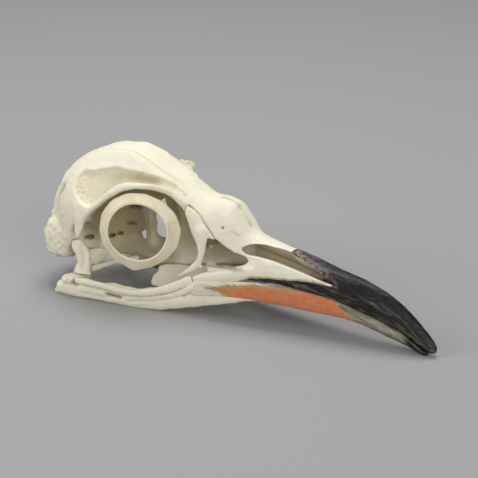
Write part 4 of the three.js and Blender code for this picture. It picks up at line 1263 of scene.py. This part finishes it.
class PENGUINSKULL_OT_skull_bone(bpy.types.Operator):
    """Build the braincase, the orbits and the bony upper bill as one softened bone"""

    bl_idname = "penguin_skull.skull_bone"
    bl_label = "Cranium and Upper Bill"

    def execute(self, context):
        whole = solid("skull", outer_form())
        for side in SIDES.values():
            cut(whole, gland(side), orbit(side), ear_hollow(side), nose_cavity(side))
        cut(whole, slab(PALATE_GAP, -11, 11), slab(WINDOW, -9, 9, curved=96), slab(SMALL_WINDOW, -9, 9))
        for side in SIDES.values():
            cut(whole, slab(FENESTRA, side * 4, side * 30))
            cut(whole, *[foramen(side, spot) for spot in FORAMINA])
            rims = [orbit_rim(side), postorbital_spike(side), nuchal_crest(side)]
            join(whole, *rims, *ear_block(side), maxilla(side))
        cut(whole, bone(BROKEN_EDGE, up=(0, -0.5, 1)))
        join(whole, *[bone(keys) for keys in BROKEN_KNOBS])
        join(whole, egg((8, 0, 20), (8, 10, 4.6)))
        cut(whole, egg((-2, 0, 23.4), (12, 5.2, 4.6)))
        middle_wall = slab(MID_WALL, -MID_WALL_HALF, MID_WALL_HALF)
        join(whole, egg((1.4, 0, 18), (3.4, 2.8, 2.4)), bone(KEEL), middle_wall)
        in_nose = [bone(keys, side) for side in SIDES.values() for keys in (NOSE_KNOB, NOSE_FLAKE)]
        join(whole, bone(COLUMN, up=(0, 1, 0)), *in_nose)
        for side in SIDES.values():
            tools = [lacrimal_zone(side, GAP), *lacrimal_pillar(side, GAP), jugal_bar(side, GAP)]
            cut(whole, *tools, *quadrate(side, GAP), pterygoid(side, GAP), palatine(side, GAP))
        cut(whole, slab(grown(UPPER_HORN, -HORN_LAP), -40, 40))
        whole = soften(whole, sizes().fineness, 6)
        cut(whole, *[naris(side) for side in SIDES.values()])
        mesh = whole.data
        points, normals = read_surface(mesh)
        x, y, z = points.T
        pitted = gland_mask(points)
        ear = smooth((22 - x) / 6) * smooth((42 - z) / 5)
        mirrored = np.column_stack([x, np.abs(y), z])
        broken = smooth(1.4 - far_from(points, BROKEN_LINE) / 4)
        out = 0.12 * ripple(points, 9.0, 3) + 0.06 * ripple(points, 3.0, 5)
        gland_pits = 0.4 * pits(points, 2.3, 11) + 0.25 * pits(points, 1.4, 12)
        out -= pitted * (gland_pits - 0.14 * ripple(points, 1.8, 13))
        ridges = 1 - np.minimum(np.abs(ripple(points, 6.0, 23)), 1)
        rough = 0.7 * ridges**3 - 0.5 - 1.1 * pits(points, 5.6, 21, 0.4)
        out += ear * (rough - 0.4 * pits(points, 2.6, 22, 0.3))
        out -= broken * (0.7 * pits(points, 2.6, 25) - 0.3 * ripple(points, 2.2, 26))
        out -= 0.16 * pits(points, 5.2, 24, 0.16) * (1 - pitted)
        recess = bell(far_from(mirrored, EAR_RECESS), 0, 1.9)
        out -= 2.2 * recess
        crease = bell(far_from(points, NASAL_CREASE), 0, 1.1)
        groove = bell(far_from(mirrored, NASAL_GROOVE), 0, 0.5)
        layers = sum(bell(far_from(mirrored, line), 0, 0.45) for line in MAXILLA_LAYERS)
        out -= 0.5 * crease + 0.22 * groove + 0.25 * layers
        out *= smooth((beside(points, (*NARIS, NARIS[0])) - 0.3) / 1.2)
        move_surface(mesh, points, normals, out)
        # Painted shade, partly the darker tone of inner bone: deep inside the outer form, in the bill's
        # cavity, the ear's recess and the orbits; less on the column and the orbit's front wall, where light
        # falls, and little at the very back of the skull except low down at the foramen magnum.
        depth = depth_inside(points)
        sheltered = smooth((depth - 0.03) / 0.35) * (1 - pitted) * (1 - 0.45 * smooth((x - 60) / 8))
        bill_cavity_shade = 0.85 * smooth((x - 104) / 6) * smooth((depth - 0.1) / 0.2)
        column = bell(far_from(points, COLUMN_LINE), 0, 3)
        sheltered = np.maximum(sheltered, bill_cavity_shade) * (1 - 0.8 * column)
        orbit_shade = smooth((15 - np.abs(y)) / 6) * smooth((x - 31) / 3) * smooth((72 - x) / 12)
        orbit_shade *= smooth((z - 14) / 3) * smooth((54 - z) / 3) * (1 - column)
        sheltered = np.maximum(sheltered, np.maximum(0.55 * recess, 0.8 * orbit_shade))
        sheltered *= np.maximum(smooth((x - 1) / 3), smooth((29 - z) / 2))
        stained = 0.8 * bell(x, 102, 8) * bell(z, 25.6, 1.4) * smooth((np.abs(y) - 4) / 3)
        stained = np.maximum(stained, 0.8 * bell(beside(points, HORN_LOW_EDGE), 0, 1.2))
        stained = np.maximum(stained, 0.4 * layers)
        # Painted shade in the foramina, fainter in the front one; together with the dark suture lines of the
        # nasal crease and groove it makes the mask below
        hole_shade = np.zeros(len(points))
        for fx, fy, fz, long, deep, high in FORAMINA:
            inside = ((x - fx) / long) ** 2 + ((np.abs(y) - fy) / deep) ** 2 + ((z - fz) / high) ** 2
            hole_shade = np.maximum(hole_shade, smooth((1.7 - inside) / 0.9) * (1 if fx < MIDDLE - 9 else 0.35))
        mark(
            mesh,
            sheltered=sheltered,
            pitted=pitted,
            stained=stained,
            seam=np.maximum(0.9 * hole_shade, 0.4 * crease * smooth((x - 88) / 3) + 0.3 * groove),
        )
        finished(whole, "skull_bone", bone_material(), "bone", "cranium", "upper_bill")
        return {"FINISHED"}


class PENGUINSKULL_OT_lacrimals(bpy.types.Operator):
    """Build the plate and pillar in front of each orbit"""

    bl_idname = "penguin_skull.lacrimals"
    bl_label = "Lacrimals"

    def execute(self, context):
        for name, side in SIDES.items():
            plate = solid("plate", outer_form())
            cut(plate, orbit(side), nose_cavity(side), slab(FENESTRA, side * 4, side * 30))
            keep(plate, lacrimal_zone(side))
            join(plate, *lacrimal_pillar(side))
            cut(plate, jugal_bar(side, GAP))
            plate = soften(plate, FINE_BONE, 8)
            plate = weathered_and_shaded(plate, side)
            finished(plate, f"lacrimal_bone_{name}", bone_material(), "bone", f"lacrimal_{name}")
        return {"FINISHED"}


class PENGUINSKULL_OT_jaw(bpy.types.Operator):
    """Build the two branches of the lower jaw"""

    bl_idname = "penguin_skull.jaw"
    bl_label = "Lower Jaw"

    def execute(self, context):
        for name, side in SIDES.items():
            branch = solid("branch", ramus(side))
            join(branch, *articular(side))
            cut(branch, BELOW_FLOOR, slab(grown(LOWER_HORN, -HORN_LAP), -40, 40))
            cut(branch, *quadrate(side, GAP), jugal_bar(side, GAP))
            branch = soften(branch, FINE_BONE, 3)
            branch = weathered_and_shaded(branch, side, 0.13, JAW_GROOVES, JAW_STAINS)
            finished(branch, f"jaw_bone_{name}", bone_material(), "bone", f"mandible_{name}")
        return {"FINISHED"}


class PENGUINSKULL_OT_cheek_bars(bpy.types.Operator):
    """Build the thin bar below each orbit"""

    bl_idname = "penguin_skull.cheek_bars"
    bl_label = "Jugal Bars"

    def execute(self, context):
        for name, side in SIDES.items():
            bar = soften(solid("bar", jugal_bar(side)), THIN_BONE, 2)
            bar = weathered_and_shaded(bar, side)
            finished(bar, f"jugal_bone_{name}", bone_material(), "bone", f"jugal_bar_{name}")
        return {"FINISHED"}


class PENGUINSKULL_OT_quadrates(bpy.types.Operator):
    """Build the bone on each side that the jaw hangs from"""

    bl_idname = "penguin_skull.quadrates"
    bl_label = "Quadrates"

    def execute(self, context):
        for name, side in SIDES.items():
            body, blade = quadrate(side)
            piece = join(solid("body", body), blade)
            cut(piece, jugal_bar(side, GAP), pterygoid(side, GAP))
            piece = soften(piece, THIN_BONE, 6)
            piece = weathered_and_shaded(piece, side, 0.16, QUADRATE_GROOVES, QUADRATE_STAINS)
            finished(piece, f"quadrate_bone_{name}", bone_material(), "bone", f"quadrate_{name}")
        return {"FINISHED"}


class PENGUINSKULL_OT_palate(bpy.types.Operator):
    """Build the pterygoids and the thin leaves of the palate"""

    bl_idname = "penguin_skull.palate"
    bl_label = "Palate"

    def execute(self, context):
        for name, side in SIDES.items():
            rod = soften(solid("rod", pterygoid(side)), THIN_BONE, 2)
            rod = weathered_and_shaded(rod, side)
            finished(rod, f"pterygoid_bone_{name}", bone_material(), "bone", f"pterygoid_{name}")
            leaf = solid("leaf", palatine(side))
            notch = egg((56.4, 10, 13.2), (3.4, 6, 2.4), side)
            cut(leaf, pterygoid(side, GAP), *lacrimal_pillar(side, GAP), notch)
            leaf = soften(leaf, THIN_BONE, 2)
            leaf = weathered_and_shaded(leaf, side)
            finished(leaf, f"palatine_bone_{name}", bone_material(), "bone", f"palatine_{name}")
        return {"FINISHED"}


# The eye ring's middle, the height and the thickness of its cone, and its turn forward and up in degrees
RING_AT = (58.4, 21.0, 37.6)
RING_RISE, RING_WALL = 3.4, 1.1
RING_FORWARD, RING_UPWARD = 20.0, 7.0
RING_PLATES = 14


class PENGUINSKULL_OT_eye_rings(bpy.types.Operator):
    """Build the ring of overlapping plates in each orbit"""

    bl_idname = "penguin_skull.eye_rings"
    bl_label = "Eye Rings"

    def execute(self, context):
        for name, side in SIDES.items():
            surface, edge = self.ring(side)
            ring = solid("ring", surface)
            mark(ring.data, edge=edge)
            finished(ring, f"eye_ring_{name}", ring_material(), "eye_ring", f"sclerotic_ring_{name}")
        return {"FINISHED"}

    def ring(self, side):
        """A low cone, turned forward and up: a thin band carried round a circle, its plates overlapping in
        small steps and its outer edge waved. It comes with a mask of its two edges."""
        outer, inner = sizes().ring_outer / MM, sizes().ring_inner / MM
        band = outer - inner
        profile = line_through(
            [
                (inner + 0.1, RING_RISE - 0.15), (inner + 0.16 * band, RING_RISE),
                (inner + 0.55 * band, 0.6 * RING_RISE), (outer - 0.1, 0.1), (outer - 0.5, -RING_WALL + 0.1),
                (inner + 0.5 * band, 0.6 * RING_RISE - RING_WALL), (inner + 0.3, RING_RISE - RING_WALL),
            ],
            closed=True,
        )
        steps, round_ = 320, 44
        u, v = np.meshgrid(np.arange(steps) / steps, np.arange(round_) / round_, indexing="ij")
        section = profile(v)
        angle = 2 * np.pi * u
        radius = section[..., 0]
        out = (radius - inner) / band
        plate = np.mod(u * RING_PLATES + 0.08 * np.sin(5 * angle), 1)
        step = 0.07 * (plate**4 - 0.2) * smooth(out * 3) * smooth(3 - 3 * out)
        wave = 0.28 * np.sin(3 * angle + 1) + 0.1 * np.sin(RING_PLATES * angle + 0.7)
        tab = 1.1 * bell(angle, 1.47 * np.pi, 0.2) + 0.4 * np.maximum(np.cos(angle), 0) ** 4
        radius = radius + (wave + tab) * smooth(out * 1.5 - 0.4) + 0.12 * np.sin(4 * angle) * (1 - out)
        high = section[..., 1] + step
        across, up = radius * np.cos(angle) * 1.03, radius * np.sin(angle) * 0.97
        tilt, turn = math.radians(RING_UPWARD), math.radians(RING_FORWARD)
        y = high * math.cos(tilt) - up * math.sin(tilt)
        z = high * math.sin(tilt) + up * math.cos(tilt)
        x = across * math.cos(turn) + y * math.sin(turn)
        y = y * math.cos(turn) - across * math.sin(turn)
        grid = np.stack([x + RING_AT[0], side * (y + RING_AT[1]), z + RING_AT[2]], axis=-1)
        edge = (smooth(1 - out * 4) + smooth(out * 4 - 3)).ravel()
        place = np.arange(steps * round_).reshape(steps, round_)
        on, over = np.roll(place, -1, axis=0), np.roll(place, -1, axis=1)
        both = np.roll(on, -1, axis=1)
        quads = np.stack([place, on, both, over], axis=-1).reshape(-1, 4)
        return (grid.reshape(-1, 3), quads, []), edge


WAY_PACE = (0.055, 0.55, 0.75)
BLACK_STREAKS_START, LOWER_STREAKS_START = 128.0, 83.0
LOWER_HORN_START = 80.0


def bill_way(points, start):
    """A place for the streaks: the distance along the bill counts little, and the one across it much."""
    f = FORM(points[:, 0])
    above = points[:, 2] - (f["top"] + f["base"]) / 2
    return np.column_stack([points[:, 0] - start, points[:, 1], above]) * WAY_PACE


class PENGUINSKULL_OT_upper_horn(bpy.types.Operator):
    """Build the black horn of the upper bill"""

    bl_idname = "penguin_skull.upper_horn"
    bl_label = "Upper Horn"

    def execute(self, context):
        horn = solid("horn", outer_form(100.0, sizes().sheath / MM))
        for side in SIDES.values():
            cut(horn, nose_cavity(side))
        keep(horn, slab(UPPER_HORN, -40, 40))
        horn = soften(horn, FINE_BONE, 3)
        cut(horn, *[naris(side) for side in SIDES.values()])
        points, normals = read_surface(horn.data)
        out = 0.05 * ripple(points * (0.12, 1, 1), 1.6, 31) + 0.03 * ripple(points, 5.0, 32)
        move_surface(horn.data, points, normals, out)
        x, y, z = points.T
        rear = beside(points, HORN_REAR_EDGE) + 0.25 * np.maximum(x - 146, 0)
        ridge = smooth((z - FORM(x)["top"] + 3.4) / 2.4)
        way = bill_way(points, BLACK_STREAKS_START)
        mark(horn.data, way=way, rear=rear, tip=smooth((x - 186) / 16), ridge=ridge)
        finished(horn, "black_horn", black_horn_material(), "black_horn", "upper_horn")
        return {"FINISHED"}


# Side views, in the lower horn, of the orange plate's upper and lower edges
ORANGE_TOP = [
    (88, 13.4), (93.9, 15), (102.4, 17.2), (115.4, 19.4), (128.3, 20.2), (136.5, 20), (143, 20.4), (158, 18),
]
ORANGE_LOW = [(88, 17), (94, 16), (98, 15.2), (102, 13.8), (107, 11.8), (112, 9), (196, 0)]


def inside_by(points, line):
    """How far points lie below a side view's line (x rising), in millimetres."""
    line = np.array(line, float)
    return np.interp(points[:, 0], line[:, 0], line[:, 1]) - points[:, 2]


class PENGUINSKULL_OT_lower_horn(bpy.types.Operator):
    """Build the horn of the lower bill with its orange plate"""

    bl_idname = "penguin_skull.lower_horn"
    bl_label = "Lower Horn"

    def execute(self, context):
        horn = solid("horn", ramus(RIGHT, sizes().sheath / MM, LOWER_HORN_START))
        join(horn, ramus(LEFT, sizes().sheath / MM, LOWER_HORN_START))
        keep(horn, slab(LOWER_HORN, -40, 40))
        cut(horn, BELOW_FLOOR, jugal_bar(RIGHT, GAP), jugal_bar(LEFT, GAP))
        horn = soften(horn, FINE_BONE, 3)
        points, normals = read_surface(horn.data)
        out = 0.04 * ripple(points * (0.12, 1, 1), 1.6, 41) + 0.03 * ripple(points, 5.0, 42)
        x, y, z = points.T
        out *= smooth(z / 0.6)
        move_surface(horn.data, points, normals, out)
        front = (161.5 - x) - 1.2 * (z - 11)
        below = -inside_by(points, ORANGE_LOW)
        plate = np.minimum(np.minimum(inside_by(points, ORANGE_TOP), below), front)
        pale = np.minimum(np.maximum(-inside_by(points, ORANGE_TOP), -below) - 0.9, 150 - x)
        lower = z - JAW(x)["low"]
        ahead = np.maximum(x - 186, 0.9 - lower - 0.06 * (175 - x))
        way = bill_way(points, LOWER_STREAKS_START)
        mark(horn.data, way=way, plate=plate, pale=pale, ahead=ahead, lower=lower)
        finished(horn, "bill_plate", bill_plate_material(), "bill_plate", "lower_horn")
        return {"FINISHED"}


# The stage: angles in degrees, the lens in millimetres and distances in metres

CAMERA_AZIMUTH, CAMERA_ELEVATION = 31.5, 21.2
CAMERA_DISTANCE, CAMERA_LENS = 0.85, 140.5
CAMERA_AIM = (0.00018, 0.0, 0.03486)
SENSOR_WIDTH = 36
LIGHT_AIM = (0, 0, 0.03)
# Each light's name, place, size and power
LIGHTS = (
    ("high soft light", (-0.12, 0.24, 1.0), 0.6, 6.6),
    ("left fill", (-0.85, -0.7, 0.6), 0.7, 5.6),
    ("right fill", (0.9, -0.7, 0.5), 0.7, 5.8),
)
AROUND, AROUND_STRENGTH = (0.5, 0.5, 0.5, 1), 0.6  # the even light from all round
FLOOR_HALF = 6.0


def add_light(name, place, size, energy):
    """A square soft light of a given size and power that faces the skull."""
    data = bpy.data.lights.new(name, "AREA")
    data.shape = "SQUARE"
    data.size = size
    data.energy = energy
    lamp = bpy.data.objects.new(name, data)
    lamp.location = place
    lamp.rotation_euler = (Vector(LIGHT_AIM) - Vector(place)).to_track_quat("-Z", "Y").to_euler()
    bpy.context.scene.collection.objects.link(lamp)


class PENGUINSKULL_OT_stage(bpy.types.Operator):
    """Build the plain floor, the soft studio light and the camera"""

    bl_idname = "penguin_skull.stage"
    bl_label = "Stage"

    def execute(self, context):
        mesh = bpy.data.meshes.new("floor")
        corners = [(FLOOR_HALF * x, FLOOR_HALF * y, 0) for x, y in ((-1, -1), (1, -1), (1, 1), (-1, 1))]
        mesh.from_pydata(corners, [], [(0, 1, 2, 3)])
        floor = bpy.data.objects.new("floor", mesh)
        context.scene.collection.objects.link(floor)
        mesh.materials.append(floor_material())
        world = bpy.data.worlds.new("studio")
        world.use_nodes = True
        world.node_tree.nodes["Background"].inputs["Color"].default_value = AROUND
        world.node_tree.nodes["Background"].inputs["Strength"].default_value = AROUND_STRENGTH
        context.scene.world = world
        for light in LIGHTS:
            add_light(*light)
        context.scene.view_settings.view_transform = "Standard"
        azimuth, elevation = math.radians(CAMERA_AZIMUTH), math.radians(CAMERA_ELEVATION)
        back = Vector((
            math.sin(azimuth) * math.cos(elevation),
            -math.cos(azimuth) * math.cos(elevation),
            math.sin(elevation),
        ))
        data = bpy.data.cameras.new("camera")
        data.lens = CAMERA_LENS
        data.sensor_width = SENSOR_WIDTH
        data.clip_start = 0.01
        data.clip_end = 50
        camera = bpy.data.objects.new("camera", data)
        camera.location = Vector(CAMERA_AIM) + back * CAMERA_DISTANCE
        camera.rotation_euler = (-back).to_track_quat("-Z", "Y").to_euler()
        context.scene.collection.objects.link(camera)
        context.scene.camera = camera
        return {"FINISHED"}


PIECES = (
    PENGUINSKULL_OT_skull_bone,
    PENGUINSKULL_OT_lacrimals,
    PENGUINSKULL_OT_jaw,
    PENGUINSKULL_OT_cheek_bars,
    PENGUINSKULL_OT_quadrates,
    PENGUINSKULL_OT_palate,
    PENGUINSKULL_OT_eye_rings,
    PENGUINSKULL_OT_upper_horn,
    PENGUINSKULL_OT_lower_horn,
    PENGUINSKULL_OT_stage,
)


class PENGUINSKULL_PT_panel(bpy.types.Panel):
    bl_label = "Penguin Skull"
    bl_idname = "PENGUINSKULL_PT_panel"
    bl_space_type = "VIEW_3D"
    bl_region_type = "UI"
    bl_category = "Penguin Skull"

    def draw(self, context):
        for settings in (context.scene.penguin_skull_sizes, context.scene.penguin_skull_colours):
            for name in settings.__annotations__:
                self.layout.prop(settings, name)
        for piece in PIECES:
            self.layout.operator(piece.bl_idname)


CLASSES = (SkullSizes, SkullColours, *PIECES, PENGUINSKULL_PT_panel)


def register():
    for cls in CLASSES:
        bpy.utils.register_class(cls)
    bpy.types.Scene.penguin_skull_sizes = bpy.props.PointerProperty(type=SkullSizes)
    bpy.types.Scene.penguin_skull_colours = bpy.props.PointerProperty(type=SkullColours)


def unregister():
    del bpy.types.Scene.penguin_skull_colours
    del bpy.types.Scene.penguin_skull_sizes
    for cls in reversed(CLASSES):
        bpy.utils.unregister_class(cls)


def main():
    register()
    for piece in PIECES:
        family, name = piece.bl_idname.split(".")
        getattr(getattr(bpy.ops, family), name)()


if __name__ == "__main__":
    main()
